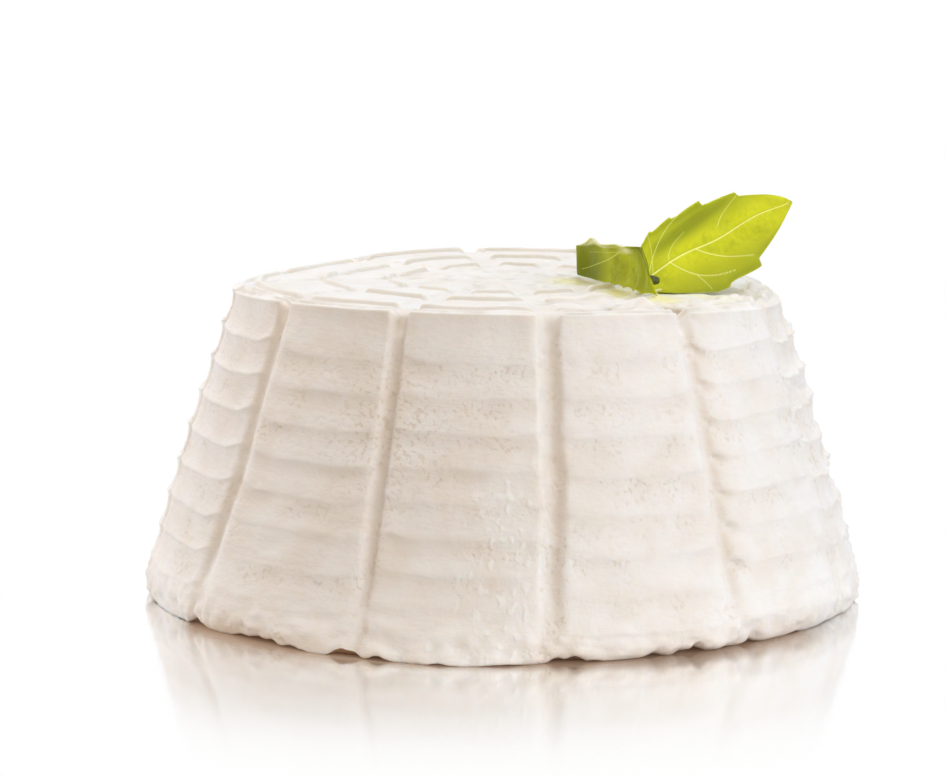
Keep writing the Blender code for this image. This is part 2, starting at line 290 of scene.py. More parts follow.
class Nodes:
    """A material's node tree, with short ways to add and join nodes."""

    def __init__(self, name: str) -> None:
        """Start a material that has only its output node.

        Args:
            name: the material's name.
        """
        self.material = bpy.data.materials.new(name)
        self.material.use_nodes = True
        self.tree = self.material.node_tree
        self.tree.nodes.clear()
        self.output = self.tree.nodes.new("ShaderNodeOutputMaterial")

    def join(self, node: bpy.types.Node, key: int | str, value: object) -> None:
        """Link a socket to a node's input, or set the input to a plain value.

        Args:
            node: the node that takes the value.
            key: its input, by name or number.
            value: another node's output, or a number, vector or colour.
        """
        if isinstance(value, Socket):
            self.tree.links.new(value, node.inputs[key])
        else:
            node.inputs[key].default_value = value

    def add(self, kind: str, inputs: dict | None = None, **settings: object) -> bpy.types.Node:
        """Add a node.

        Args:
            kind: Blender's node type, without its ShaderNode prefix.
            inputs: values or sockets for the node's inputs, by name or number.
            settings: the node's own properties.

        Returns:
            The new node.
        """
        node = self.tree.nodes.new("ShaderNode" + kind)
        for key, value in settings.items():
            setattr(node, key, value)
        for key, value in (inputs or {}).items():
            self.join(node, key, value)
        return node

    def place(self) -> Socket:
        """The object's own coordinates, in metres."""
        return self.add("TexCoord").outputs["Object"]

    def noise(self, size: float, detail: float = 3.0, squash: Point | None = None) -> Socket:
        """Noise in 0..1 on the object's coordinates.

        Args:
            size: size of its lumps, in metres.
            detail: how much finer noise lies on them.
            squash: scale along each axis; below 1 it draws the lumps out along that axis.

        Returns:
            The noise.
        """
        vector = self.place()
        if squash is not None:
            vector = self.add("Mapping", {"Vector": vector, "Scale": squash}).outputs[0]
        return self.add("TexNoise", {"Vector": vector, "Scale": 1.0 / size, "Detail": detail}).outputs[0]

    def ramp(self, value: Socket, low: float, high: float, out_low: float = 0.0,
             out_high: float = 1.0) -> Socket:
        """Map a value from low..high to out_low..out_high, level outside."""
        return self.add("MapRange", {0: value, 1: low, 2: high, 3: out_low, 4: out_high},
                        interpolation_type="SMOOTHSTEP").outputs[0]

    def maths(self, operation: str, first: object, second: object) -> Socket:
        """One sum on two values or sockets."""
        return self.add("Math", {0: first, 1: second}, operation=operation).outputs[0]

    def times(self, first: object, second: object) -> Socket:
        """Product of two values or sockets."""
        return self.maths("MULTIPLY", first, second)

    def blend(self, share: object, first: object, second: object) -> Socket:
        """Mix two colours.

        Args:
            share: how much of the second colour there is.
            first: a colour or a socket.
            second: a colour or a socket.

        Returns:
            The mixed colour.
        """
        node = self.add("Mix", {0: share}, data_type="RGBA", blend_type="MIX")
        for key, colour in ((6, first), (7, second)):
            self.join(node, key, colour if isinstance(colour, Socket) else (*colour, 1.0))
        return node.outputs[2]

    def shader_mix(self, share: Socket, first: bpy.types.Node, second: bpy.types.Node) -> bpy.types.Node:
        """Mix two shaders by the share of the second."""
        return self.add("MixShader", {0: share, 1: first.outputs[0], 2: second.outputs[0]})

    def attribute(self, name: str) -> Socket:
        """A vertex attribute as a value."""
        return self.add("Attribute", attribute_name=name).outputs["Fac"]

    def bump(self, layers: list[tuple[Socket, float]]) -> Socket:
        """Chain bumps.

        Args:
            layers: for each a height in 0..1 and its depth in metres.

        Returns:
            The normal that all of them give together.
        """
        normal = None
        for height, depth in layers:
            inputs = {"Height": height, "Distance": depth, "Strength": 1.0}
            if normal is not None:
                inputs["Normal"] = normal
            normal = self.add("Bump", inputs).outputs[0]
        return normal

    def finish(self, shader: bpy.types.Node) -> bpy.types.Material:
        """Join a shader to the output and return the material."""
        self.tree.links.new(shader.outputs[0], self.output.inputs["Surface"])
        return self.material


# --- Finishes -------------------------------------------------------------------------------------
@dataclass(frozen=True)
class CheeseFinish:
    """Fresh moist curd: off-white, softly translucent, finely grained and pricked with small pits."""

    # colours, and how far some of them cover the skin
    pale: Colour = (0.905, 0.872, 0.836)
    warm: Colour = (0.872, 0.815, 0.752)
    # painted shade: a warm darker colour laid into the hollows inside the lips and the ribs' channels
    deep: Colour = (0.790, 0.690, 0.590)
    hollow_shade_share: float = 0.22
    # painted shade on the top's relief: the ridges' flanks, the bands' edges, the creases, the torn clefts
    # and the mottled middle
    shadow: Colour = (0.655, 0.610, 0.520)
    shadow_share: float = 0.80
    # painted shade: dark brown on the rows under the foot and in the deepest clefts of the torn curd
    under: Colour = (0.420, 0.250, 0.130)
    # painted shade: the pits' dark brown stands in for the shade inside the small holes
    pit: Colour = (0.700, 0.595, 0.470)
    pit_share: float = 0.60
    crumb: Colour = (0.990, 0.975, 0.950)
    crumb_share: float = 0.50
    # painted light: the yellow-green light that the leaves throw on the top
    leaf_light: Colour = (0.880, 0.830, 0.340)
    # sizes of the patterns, and depths of those that are relief
    blotch_size: float = 0.011
    cluster_size: float = 0.010
    shine_size: float = 0.004
    curd_size: float = 0.0026
    curd_depth: float = 0.00018
    grain_size: float = 0.0008
    grain_depth: float = 0.00009
    streak_size: float = 0.0010
    streak_depth: float = 0.00010
    dash_size: float = 0.0011
    dash_depth: float = 0.00018
    crumb_size: float = 0.0017
    crumb_depth: float = 0.00016
    pit_size: float = 0.0011
    pit_depth: float = 0.00016
    # shape of the noise along X, Y and Z: below 1 draws it out
    streak_squash: Point = (1.0, 1.0, 0.22)
    dash_squash: Point = (0.28, 0.28, 1.0)
    crumb_squash: Point = (1.0, 1.0, 0.70)
    roughness: Pair = (0.42, 0.60)
    glow: float = 0.42
    glow_colour: Colour = (1.0, 0.72, 0.48)
    glow_reach: float = 0.0013

    def pits(self, n: Nodes) -> Socket:
        """Small pits, 0..1: in clusters, most of them in the hollows, and all over the pricked patch.

        Args:
            n: the material's nodes.

        Returns:
            How far each place lies in a pit.
        """
        in_hollow = n.ramp(n.attribute("hollow"), 0.02, 0.20, 0.25, 1.0)
        clusters = n.times(n.ramp(n.noise(self.cluster_size, 2.0), 0.44, 0.62), n.attribute("side"))
        pricked = n.maths("MAXIMUM", n.times(n.times(clusters, in_hollow), 0.7), n.attribute("pricked"))
        return n.times(n.ramp(n.noise(self.pit_size, 0.8), 0.50, 0.74), pricked)

    def crumbs(self, n: Nodes) -> Socket:
        """Crumbs of curd that stick to the crumbly part, 0..1."""
        blobs = n.ramp(n.noise(self.crumb_size, 0.3, self.crumb_squash), 0.54, 0.80)
        return n.times(blobs, n.attribute("crumbly"))

    def colour(self, n: Nodes, pits: Socket, crumbs: Socket) -> Socket:
        """Lay the colours over one another, from the skin's blotches to the painted shade below the cheese.

        Args:
            n: the material's nodes.
            pits: how far each place lies in a pit.
            crumbs: how far it is a crumb.

        Returns:
            The colour.
        """
        colour = n.blend(n.ramp(n.noise(self.blotch_size, 4.0), 0.38, 0.68), self.pale, self.warm)
        # painted shade and light among these layers: the pits' dark colour, the hollows' warm shade, the
        # shadow colour, the yellow-green leaf light and the dark brown below the cheese
        layers = ((n.times(pits, self.pit_share), self.pit),
                  (n.ramp(n.attribute("hollow"), 0.0, 0.5, 0.0, self.hollow_shade_share), self.deep),
                  (n.times(n.attribute("shaded"), self.shadow_share), self.shadow),
                  (n.attribute("painted_leaf_light"), self.leaf_light),
                  (n.times(crumbs, self.crumb_share), self.crumb),
                  (n.attribute("painted_shade_below"), self.under))
        for share, layer in layers:
            colour = n.blend(share, colour, layer)
        return colour

    def material(self) -> bpy.types.Material:
        """Build the material from noise on the object's coordinates and the cheese's attributes.

        Returns:
            The material.
        """
        n = Nodes("fresh_ricotta")
        pits, crumbs = self.pits(n), self.crumbs(n)
        streaks = n.times(n.noise(self.streak_size, 2.0, self.streak_squash), n.attribute("streaked"))
        dashes = n.times(n.noise(self.dash_size, 2.0, self.dash_squash), n.attribute("side"))
        normal = n.bump([(n.noise(self.curd_size), self.curd_depth),
                         (n.noise(self.grain_size, 4.0), self.grain_depth),
                         (streaks, self.streak_depth),
                         (dashes, self.dash_depth),
                         (crumbs, self.crumb_depth),
                         (n.maths("SUBTRACT", 1.0, pits), self.pit_depth)])
        return n.finish(n.add("BsdfPrincipled", {
            "Base Color": self.colour(n, pits, crumbs), "Normal": normal, "IOR": 1.4,
            "Roughness": n.ramp(n.noise(self.shine_size), 0.3, 0.7, *self.roughness),
            "Subsurface Weight": self.glow, "Subsurface Radius": self.glow_colour,
            "Subsurface Scale": self.glow_reach, "Specular IOR Level": 0.45}))


@dataclass(frozen=True)
class LeafFinish:
    """Basil blade, yellow-green with paler veins and cream where it is turned over; its colours hold
    painted light: one copy is painted lit through, another in shade.
    """

    name: str
    blade: Colour
    shade: Colour
    vein: Colour
    pale_cream: Colour
    gloss: float
    patch_size: float = 0.006
    patch_share: float = 0.36
    mottle_size: float = 0.0012
    mottle_share: float = 0.16
    pucker_size: float = 0.0016
    pucker_depth: float = 0.00016
    cell_size: float = 0.0005
    cell_depth: float = 0.00004
    shine_size: float = 0.003
    roughness: Pair = (0.38, 0.52)
    glow: float = 0.85
    glow_colour: Colour = (1.0, 1.0, 0.25)
    glow_reach: float = 0.0012

    def material(self) -> bpy.types.Material:
        """Build the material; veins, shade and the turned-over part come from vertex attributes.

        Returns:
            The material.
        """
        n = Nodes(self.name)
        patches = n.times(n.ramp(n.noise(self.patch_size), 0.35, 0.68), self.patch_share)
        mottles = n.times(n.ramp(n.noise(self.mottle_size), 0.40, 0.62), self.mottle_share)
        shade = n.maths("MAXIMUM", n.maths("ADD", patches, mottles), n.attribute("shade"))
        colour = n.blend(shade, self.blade, self.shade)
        colour = n.blend(n.attribute("vein"), colour, self.vein)
        colour = n.blend(n.attribute("pale_cream"), colour, self.pale_cream)
        normal = n.bump([(n.noise(self.pucker_size), self.pucker_depth),
                         (n.noise(self.cell_size, 2.0), self.cell_depth)])
        return n.finish(n.add("BsdfPrincipled", {
            "Base Color": colour, "Normal": normal, "IOR": 1.42,
            "Roughness": n.ramp(n.noise(self.shine_size, 2.0), 0.3, 0.7, *self.roughness),
            "Subsurface Weight": self.glow, "Subsurface Radius": self.glow_colour,
            "Subsurface Scale": self.glow_reach, "Specular IOR Level": self.gloss}))


@dataclass(frozen=True)
class StemFinish:
    """Dark green stem, a little lighter in patches."""

    dark: Colour = (0.045, 0.052, 0.010)
    light: Colour = (0.10, 0.115, 0.022)
    patch_size: float = 0.0008
    grain_size: float = 0.0005
    grain_depth: float = 0.00005

    def material(self) -> bpy.types.Material:
        """Build the material from fine noise.

        Returns:
            The material.
        """
        n = Nodes("basil_stem")
        colour = n.blend(n.ramp(n.noise(self.patch_size), 0.35, 0.65), self.dark, self.light)
        return n.finish(n.add("BsdfPrincipled", {
            "Base Color": colour, "Roughness": 0.42, "IOR": 1.42,
            "Normal": n.bump([(n.noise(self.grain_size), self.grain_depth)])}))


@dataclass(frozen=True)
class FloorFinish:
    """White gloss that mirrors the foot of the cheese and turns plain white away from it.

    Close in front of the foot a matt brown shadow is painted on it instead, which the lamps then light and
    shade, with a little painted brown glow for light that seeps through the cheese.
    """

    bounce: Colour = (1.0, 0.758, 0.573)
    bounce_strength: float = 0.211
    roughness: float = 0.10
    # painted shadow: the brown of the ground near the foot, and a painted glow of brown light there
    shadow_brown: Colour = (0.42, 0.315, 0.235)
    seep_glow: Colour = (0.058, 0.028, 0.011)
    # where the brown fades: outwards, towards the back, towards the right and at both sides
    shadow_brown_share: float = 0.92
    fade_out: Pair = (0.0803, 0.0905)
    fade_back: Pair = (-0.048, -0.030)
    fade_right: Pair = (-0.030, 0.030)
    right_share: float = 0.55
    fade_sides: Pair = (0.0640, 0.0725)
    # how far the mirror has turned white at a distance from the middle, and the curve node's unit
    white_shares: tuple[Pair, ...] = (
        (0.0800, 0.02), (0.0900, 0.05), (0.0955, 0.09), (0.1137, 0.24), (0.1312, 0.50), (0.1479, 0.78),
        (0.1639, 0.93), (0.1900, 1.0))
    curve_unit: float = 0.2

    def brown_share(self, n: Nodes, away: Socket) -> Socket:
        """How far the ground is painted with the brown shadow.

        Args:
            n: the material's nodes.
            away: distance from the middle of the cheese.

        Returns:
            The share.
        """
        split = n.add("SeparateXYZ", {0: n.place()})
        x, y = split.outputs["X"], split.outputs["Y"]
        aside = n.maths("ABSOLUTE", x, 0.0)
        share = n.ramp(away, *self.fade_out, self.shadow_brown_share, 0.0)
        for value, reach, far_share in ((y, self.fade_back, 0.0), (x, self.fade_right, self.right_share),
                                        (aside, self.fade_sides, 0.0)):
            share = n.times(share, n.ramp(value, *reach, 1.0, far_share))
        return share

    def white_share(self, n: Nodes, away: Socket) -> Socket:
        """How far the mirror has turned into plain white light.

        Args:
            n: the material's nodes.
            away: distance from the middle of the cheese.

        Returns:
            The share.
        """
        curve = n.add("FloatCurve", {"Factor": 1.0, "Value": n.times(away, 1.0 / self.curve_unit)})
        points = curve.mapping.curves[0].points
        points[0].location = (0.0, 0.0)
        points[1].location = (1.0, 1.0)
        for radius, share in self.white_shares:
            points.new(radius / self.curve_unit, share)
        curve.mapping.update()
        return curve.outputs[0]

    def material(self) -> bpy.types.Material:
        """Mix the mirror, the brown and the white light by the place on the ground.

        Returns:
            The material.
        """
        n = Nodes("white_gloss")
        flat = n.add("VectorMath", {0: n.place(), 1: (1.0, 1.0, 0.0)}, operation="MULTIPLY")
        away = n.add("VectorMath", {0: flat.outputs[0]}, operation="LENGTH").outputs["Value"]
        mirror = n.add("BsdfGlossy", {"Color": (*WHITE, 1.0), "Roughness": self.roughness})
        # the painted brown shadow, with its painted glow
        shadow_brown = n.add("BsdfDiffuse", {"Color": (*self.shadow_brown, 1.0)})
        seep_glow = n.add("Emission", {"Color": (*self.seep_glow, 1.0), "Strength": 1.0})
        brown = n.add("AddShader", {0: shadow_brown.outputs[0], 1: seep_glow.outputs[0]})
        ground = n.shader_mix(self.brown_share(n, away), mirror, brown)
        seen = n.add("Emission", {"Color": (*WHITE, 1.0), "Strength": 1.0})
        bounced = n.add("Emission", {"Color": (*self.bounce, 1.0), "Strength": self.bounce_strength})
        white = n.shader_mix(n.add("LightPath").outputs["Is Diffuse Ray"], seen, bounced)
        return n.finish(n.shader_mix(self.white_share(n, away), ground, white))


# --- The cheese -----------------------------------------------------------------------------------
@dataclass
class Cheese:
    """The ricotta: every size of its printed form, and the grid that carries it.

    Panel 0 lies right of the rib at 8.5 degrees and the others follow anticlockwise seen from above.
    A table with twelve values gives one to each panel, or one to each rib.
    """

    finish: CheeseFinish = field(default_factory=CheeseFinish)
    # columns
    ribs: int = 12
    rib_turn: float = math.radians(8.5)
    rib_zone: float = math.radians(2.8)
    rib_columns: int = 12
    panel_columns: int = 30
    # the top: its level, the arcs of ridges and the sunken bands between them
    top_z: float = 0.0711
    edge_radius: float = 0.0592
    edge_z: float = 0.0713
    ridge_radii: tuple[float, ...] = (0.0127, 0.0265, 0.0409, 0.0554)
    ridge_heights: tuple[float, ...] = (0.0002, 0.0007, 0.0008, 0.0008)
    ridge_half: float = 0.00100
    ridge_start: float = 0.0021
    band_half: float = 0.0031
    band_drop: float = 0.00045
    crease_pitch: float = 0.0023
    crease_depth: float = 0.00060
    # torn curd on the top: middle and half widths of each patch, heights of its lumps and flakes
    worn_patches: tuple[tuple[Pair, Pair], ...] = (
        ((0.0300, -0.0450), (0.0220, 0.0130)), ((0.0560, -0.0220), (0.0110, 0.0300)))
    torn_lumps: float = 0.0034
    torn_flakes: float = 0.0020
    # mesh rows: across a ridge, between the ridges, on the shoulder, on the rim and down one lip
    across_ridge: tuple[float, ...] = (
        -0.00110, -0.00086, -0.00062, -0.00036, 0.0, 0.00036, 0.00062, 0.00086, 0.00110)
    between_ridges: tuple[int, ...] = (6, 8, 13, 16)
    shoulder: tuple[float, ...] = (0.0570, 0.0575, 0.0580, 0.0586)
    rim_steps: tuple[float, ...] = (0.0, 0.17, 0.34, 0.51, 0.68, 0.85)
    lip_steps: tuple[float, ...] = (0.0, 0.045, 0.10, 0.17, 0.26, 0.38, 0.51, 0.64, 0.76, 0.87, 0.95)
    # the side: the cone of the lips' tips, and a middling radius that turns angles into lengths
    tip_radius: float = 0.0801
    tip_heights: Pair = (0.0068, 0.0688)
    taper: float = 0.303
    swelling: float = 0.0005
    side_radius: float = 0.07
    rows: int = 8
    lip_radius: float = 0.0614
    lip_z: float = 0.0710
    # height of each panel's first lip below the rim, and how far apart its lips are
    first_lip: tuple[float, ...] = (0.0617, 0.0620, 0.0599, 0.0606, 0.0612, 0.0609,
                                    0.0614, 0.0607, 0.0609, 0.0609, 0.0603, 0.0607)
    lip_pitch: tuple[float, ...] = (0.00800, 0.00735, 0.00725, 0.00750, 0.00740, 0.00770,
                                    0.00730, 0.00760, 0.00773, 0.00750, 0.00733, 0.00715)
    # how far each panel's lips are rounded over, and how deep its hollows are
    softness: tuple[float, ...] = (1.0, 0.80, 0.25, 0.3, 0.7, 0.8, 0.7, 0.4, 0.0, 0.0, 1.0, 1.0)
    hollow: tuple[float, ...] = (0.90, 0.62, 1.0, 1.0, 0.9, 1.0, 0.9, 1.0, 1.0, 0.95, 0.90, 1.0)
    trough: float = 0.00072
    undercut: float = 0.00014
    burr: float = 0.00012
    # pockets beside one rib
    pocket: float = 0.0018
    pocket_rib: int = 1
    # the ribs' channels: depth, half width, how strong each is, and their roll over the rim
    channel_depth: float = 0.0018
    channel_half: float = 0.0022
    rib_strength: tuple[float, ...] = (1.5, 1.1, 0.22, 0.5, 0.9, 1.0, 0.9, 0.9, 1.0, 1.0, 1.0, 1.15)
    roll: float = 0.0038
    roll_start: float = 0.0549
    roll_turn: float = math.radians(74.0)
    # how much higher the lips end beside each rib
    corner_rise: tuple[float, ...] = (0.0008, 0.0010, 0.0002, 0.0004, 0.0008, 0.0008,
                                      0.0008, 0.0008, 0.0010, 0.0012, 0.0014, 0.0009)
    # the foot: reach of its edge on the ground by azimuth, and azimuth, half width and height of its gaps
    foot_reach: tuple[Pair, ...] = (
        (-180.0, 0.0803), (-120.0, 0.0800), (-90.0, 0.0797), (-76.0, 0.0802), (-50.0, 0.0803),
        (-40.0, 0.0803), (-30.0, 0.0826), (-17.0, 0.0834), (-8.0, 0.0842), (0.0, 0.0832), (7.0, 0.0803),
        (15.0, 0.0792), (24.0, 0.0774), (35.0, 0.0770), (50.0, 0.0772), (68.0, 0.0784), (85.0, 0.0796),
        (120.0, 0.0800), (180.0, 0.0803))
    gaps: tuple[Triple, ...] = (
        (-77.0, 2.6, 0.0009), (-52.5, 2.4, 0.0011), (-39.5, 4.2, 0.0009), (-32.5, 2.0, 0.0005),
        (-23.5, 2.3, 0.0013), (-18.5, 1.7, 0.0006), (-9.0, 2.8, 0.0002), (1.0, 4.0, 0.0002),
        (11.5, 3.0, 0.0012), (24.2, 1.8, 0.0006), (31.0, 2.3, 0.0015), (43.8, 1.8, 0.0010),
        (55.0, 1.6, 0.0004), (118.0, 6.0, 0.0010), (171.0, 5.0, 0.0009), (-142.0, 6.0, 0.0010))
    foot_swell: float = 0.0013
    foot_limit: float = 0.0805
    foot_steps: int = 15
    # rows in under the cheese: how far in each is, and its share of a gap's height
    under_rows: tuple[Pair, ...] = (
        (0.0006, 0.90), (0.0014, 0.66), (0.0026, 0.30), (0.0045, 0.0), (0.0200, 0.0), (0.0560, 0.0))
    # how far the rim sags to the left and to the right: at its edge and at the lip below it
    sag_left: Pair = (0.0014, 0.0022)
    sag_right: Pair = (0.0017, 0.0036)
    dip: float = 0.0017
    # two ribs lean: their turn in degrees at these heights
    lean_heights: tuple[float, ...] = (0.010, 0.018, 0.026, 0.034, 0.050, 0.066)
    leans: tuple[tuple[int, tuple[float, ...]], ...] = (
        (-2, (-3.5, -2.7, -1.8, -0.6, -0.4, 0.2)), (0, (-0.9, -0.8, -0.3, 0.0, 0.0, 0.0)))
    # unevenness of the lips, the hollows and pockets between them, and the channels' borders
    lip_waves: Waves = Waves(0.00040, 0.012, 11)
    lip_ripple: Waves = Waves(0.00018, 0.0035, 12)
    lip_tears: Waves = Waves(0.0006, 0.0030, 13)
    tip_tears: Waves = Waves(0.0013, 0.0026, 14)
    trough_waves: Waves = Waves(1.0, 0.010, 21, 4)
    pocket_waves: Waves = Waves(0.4, 0.004, 22)
    border_waves: Waves = Waves(1.0, 0.0028, 57, 3)
    waver: Pair = (0.00075, 0.00028)
    # unevenness of the foot's edge
    foot_rise: float = 0.00020
    foot_waves: Waves = Waves(1.0, 0.0042, 32)
    gap_jag: Waves = Waves(0.65, 0.0021, 33)
    # unevenness of the top: its bands, ridges and creases, its skin and its lumpy middle
    band_jitter: Waves = Waves(0.0005, 0.0022, 47)
    dots: Waves = Waves(1.0, 0.0016, 40)
    ridge_wander: Waves = Waves(0.00030, 0.008, 41)
    ridge_waves: Waves = Waves(0.30, 0.006, 42)
    crease_wander: Waves = Waves(0.38, 0.008, 48)
    crease_breaks: Waves = Waves(0.80, 0.005, 49)
    crease_nicks: Waves = Waves(0.35, 0.0019, 50)
    top_waves: Waves = Waves(0.00012, 0.009, 43)
    top_ripple: Waves = Waves(0.00008, 0.0025, 44)
    middle_curds: Curds = Curds(0.0007, 0.0040, 45, 0.45)
    broken_skin: Waves = Waves(0.0006, 0.0030, 46, 3)
    # painted shade: mottles of the shadow colour on the top, strongest on the lumpy middle
    mottle_shade: Waves = Waves(1.0, 0.0022, 39, 3)
    # relief of the side and of the foot
    swellings: Waves = Waves(0.00030, 0.028, 51)
    dimples: Waves = Waves(0.00012, 0.007, 52)
    skin: Waves = Waves(0.00008, 0.0024, 54, 3)
    strata: Waves = Waves(0.00008, 0.0013, 53)
    strata_squash: Point = (0.16, 0.16, 1.0)
    side_curds: Curds = Curds(0.0012, 0.0030, 59)
    foot_curds: Curds = Curds(0.0016, 0.0044, 55)
    foot_crumbs: Curds = Curds(0.0009, 0.0024, 58)
    foot_grain: Waves = Waves(0.0005, 0.0022, 56, 3)
    # where yellow-green light from the leaves is painted on the top: middle, half widths and strength
    leaf_light: tuple[tuple[Pair, Pair, float], ...] = (
        ((0.0153, -0.0050), (0.0050, 0.0060), 0.75), ((0.0250, -0.0240), (0.0045, 0.0090), 0.80),
        ((0.0330, -0.0360), (0.0055, 0.0045), 0.80), ((0.0335, -0.0230), (0.0050, 0.0050), 0.95),
        ((0.0420, -0.0270), (0.0090, 0.0040), 0.35))

    def __post_init__(self) -> None:
        """Work out the azimuth of each column and where it stands between the ribs."""
        step = 2.0 * math.pi / self.ribs
        zone = np.linspace(-self.rib_zone, self.rib_zone, self.rib_columns + 1)[:-1]
        panel = np.linspace(self.rib_zone, step - self.rib_zone, self.panel_columns + 1)[:-1]
        one = np.concatenate([zone, panel])
        self.azimuth = (self.rib_turn + step * np.arange(self.ribs)[:, None] + one).ravel()
        turned = self.azimuth - self.rib_turn
        self.rib = np.round(turned / step).astype(int)
        self.gap = turned - self.rib * step

    def by_panel(self, values: tuple[float, ...]) -> Array:
        """Give each column its panel's value, blended across the rib between two panels.

        Args:
            values: one value for each panel.

        Returns:
            One value for each column.
        """
        table = np.array(values)
        left, right = table[(self.rib - 1) % self.ribs], table[self.rib % self.ribs]
        return mix(left, right, smoothstep(-0.6 * self.rib_zone, 0.6 * self.rib_zone, self.gap))

    def by_rib(self, values: tuple[float, ...]) -> Array:
        """Give each column the value of the rib it is nearest to."""
        return np.array(values)[self.rib % self.ribs]

    def around(self, azimuth: float, half: float) -> Array:
        """Nearness of each column to an azimuth: a bell of this half width, both in degrees."""
        return hump(turn_between(self.azimuth, math.radians(azimuth)), 0.0, math.radians(half))

    def back_dip(self) -> Array:
        """The hollow at the back left, where the top lies lower."""
        return self.dip * self.around(-122.0, 28.0)

    def sag(self, place: int) -> Array:
        """How far the rim has sunk at each column, at its edge (0) or at the lip below it (1)."""
        left, right = self.around(-90.0, 46.0), self.around(90.0, 46.0)
        return self.sag_left[place] * left + self.sag_right[place] * right + self.back_dip()

    def ring(self, radius: float, level: float) -> Array:
        """Points of a plain ring, for noise that runs round the cheese."""
        return on_ring(radius, self.azimuth, level)

    def row_ring(self, row: int) -> Array:
        """The ring whose noise belongs to a row of lips, far from the other rows' rings."""
        return self.ring(self.side_radius, 0.05 * row)

    def envelope(self, height: Array) -> Array:
        """Radius of the lips' tips at a height: a cone, swollen half way down by half a sine.

        Args:
            height: heights to look up.

        Returns:
            Their radii.
        """
        low, high = self.tip_heights
        swell = np.sin(np.pi * np.clip((height - low) / (high - low), 0.0, 1.0))
        return self.tip_radius - self.taper * (height - low) + self.swelling * swell

    def ragged(self) -> Array:
        """Where the lips are torn: 1 round the right side, 0 elsewhere."""
        return self.around(88.0, 22.0)

    def lips(self) -> Array:
        """Height of each lip at each column.

        Lip 0 follows the sunk rim.  Below it the lips step down by their panel's pitch, with slow and
        quick waviness, and more of it where they are torn.

        Returns:
            Heights, shape (rows + 1, columns).
        """
        first, pitch = self.by_panel(self.first_lip), self.by_panel(self.lip_pitch)
        heights = [self.lip_z - self.sag(1)]
        beside = np.abs(self.gap) * self.side_radius
        corner = self.by_rib(self.corner_rise) * (1.0 - smoothstep(0.0006, 0.0078, beside))
        for row in range(self.rows):
            ring = self.row_ring(row)
            wave = self.lip_waves.at(ring) + self.lip_ripple.at(ring)
            wave += self.ragged() * self.lip_tears.at(ring)
            heights.append(first - row * pitch + wave + corner)
        return np.array(heights)

    def side_rows(self) -> tuple[list[Array], list[Array]]:
        """The scalloped rows.

        Where the lips are sharp the surface runs nearly straight down from one lip and flares outwards
        to the next, 0.12 s + 0.88 ((s - start) / (1 - start)) ^ power, with a slight step back under the
        lip.  Where they are soft it dips in a trough, sin^2(pi s^0.6), deeper and shallower along the
        row.  Towards a rib the hollow gets shallower.  Small pockets open beside one rib.

        Returns:
            Radii and heights, one array of columns for each mesh row.
        """
        lips = self.lips()
        tips = self.envelope(lips)
        tips[0] = self.lip_radius
        soft, deep = self.by_panel(self.softness), self.by_panel(self.hollow)
        aside = self.gap * self.side_radius
        closed = 0.55 * self.by_rib(self.rib_strength) * (1.0 - smoothstep(0.0020, 0.0048, np.abs(aside)))
        open_share = (1.0 - np.clip(closed, 0.0, 0.6)) * deep
        beside_rib = hump(aside, 0.0026, 0.0015) * (self.rib % self.ribs == self.pocket_rib)
        ragged, step_place = self.ragged(), 0.115
        radii, heights = [], []
        for row in range(self.rows):
            down = row / (self.rows - 1)
            start, power = 0.30 - 0.12 * down, 2.4 - 0.8 * down
            ring = self.row_ring(row)
            strength = 0.35 + 0.90 * smoothstep(-0.45, 0.60, self.trough_waves.at(ring))
            pocket = self.pocket * beside_rib * (0.8 + self.pocket_waves.at(ring))
            smooth_low = ragged * float(smoothstep(0.62, 0.95, np.array(down)))
            rounded = np.maximum(soft, smooth_low)
            tips[row + 1] += ragged * (1.0 - smooth_low) * self.tip_tears.at(ring)
            for s in self.lip_steps:
                flare = 0.12 * s + 0.88 * max(0.0, (s - start) / (1.0 - start)) ** power
                straight = mix(tips[row], tips[row + 1], s)
                back = self.undercut * (s / step_place) * math.exp(1.0 - s / step_place)
                crisp = straight - mix(tips[row], tips[row + 1], flare) + back
                gentle = self.trough * strength * math.sin(math.pi * s ** 0.6) ** 2
                hollow = mix(crisp, gentle * (1.0 - 0.5 * smooth_low), rounded)
                burr = math.exp(-((s / 0.05) ** 2)) + math.exp(-(((1.0 - s) / 0.05) ** 2))
                radii.append(straight - hollow * open_share + self.burr * (1.0 - rounded) * burr
                             - pocket * math.exp(-(((s - 0.16) / 0.13) ** 2)))
                heights.append(mix(lips[row], lips[row + 1], s))
        radii.append(tips[-1] + self.burr * (1.0 - rounded))
        heights.append(lips[-1])
        return radii, heights

    def lift(self) -> Array:
        """How far the foot's edge stands off the ground: slow waves and the gaps.

        Returns:
            Heights of the edge, one for each column.
        """
        ring = self.ring(0.08, 0.0)
        rise = self.foot_rise * smoothstep(0.15, 0.8, self.foot_waves.at(ring))
        jag = 1.0 + self.gap_jag.at(ring)
        for azimuth, half, depth in self.gaps:
            away = np.degrees(turn_between(self.azimuth, math.radians(azimuth)))
            rise += depth * np.exp(-np.abs(away / half) ** 3) * jag
        return rise

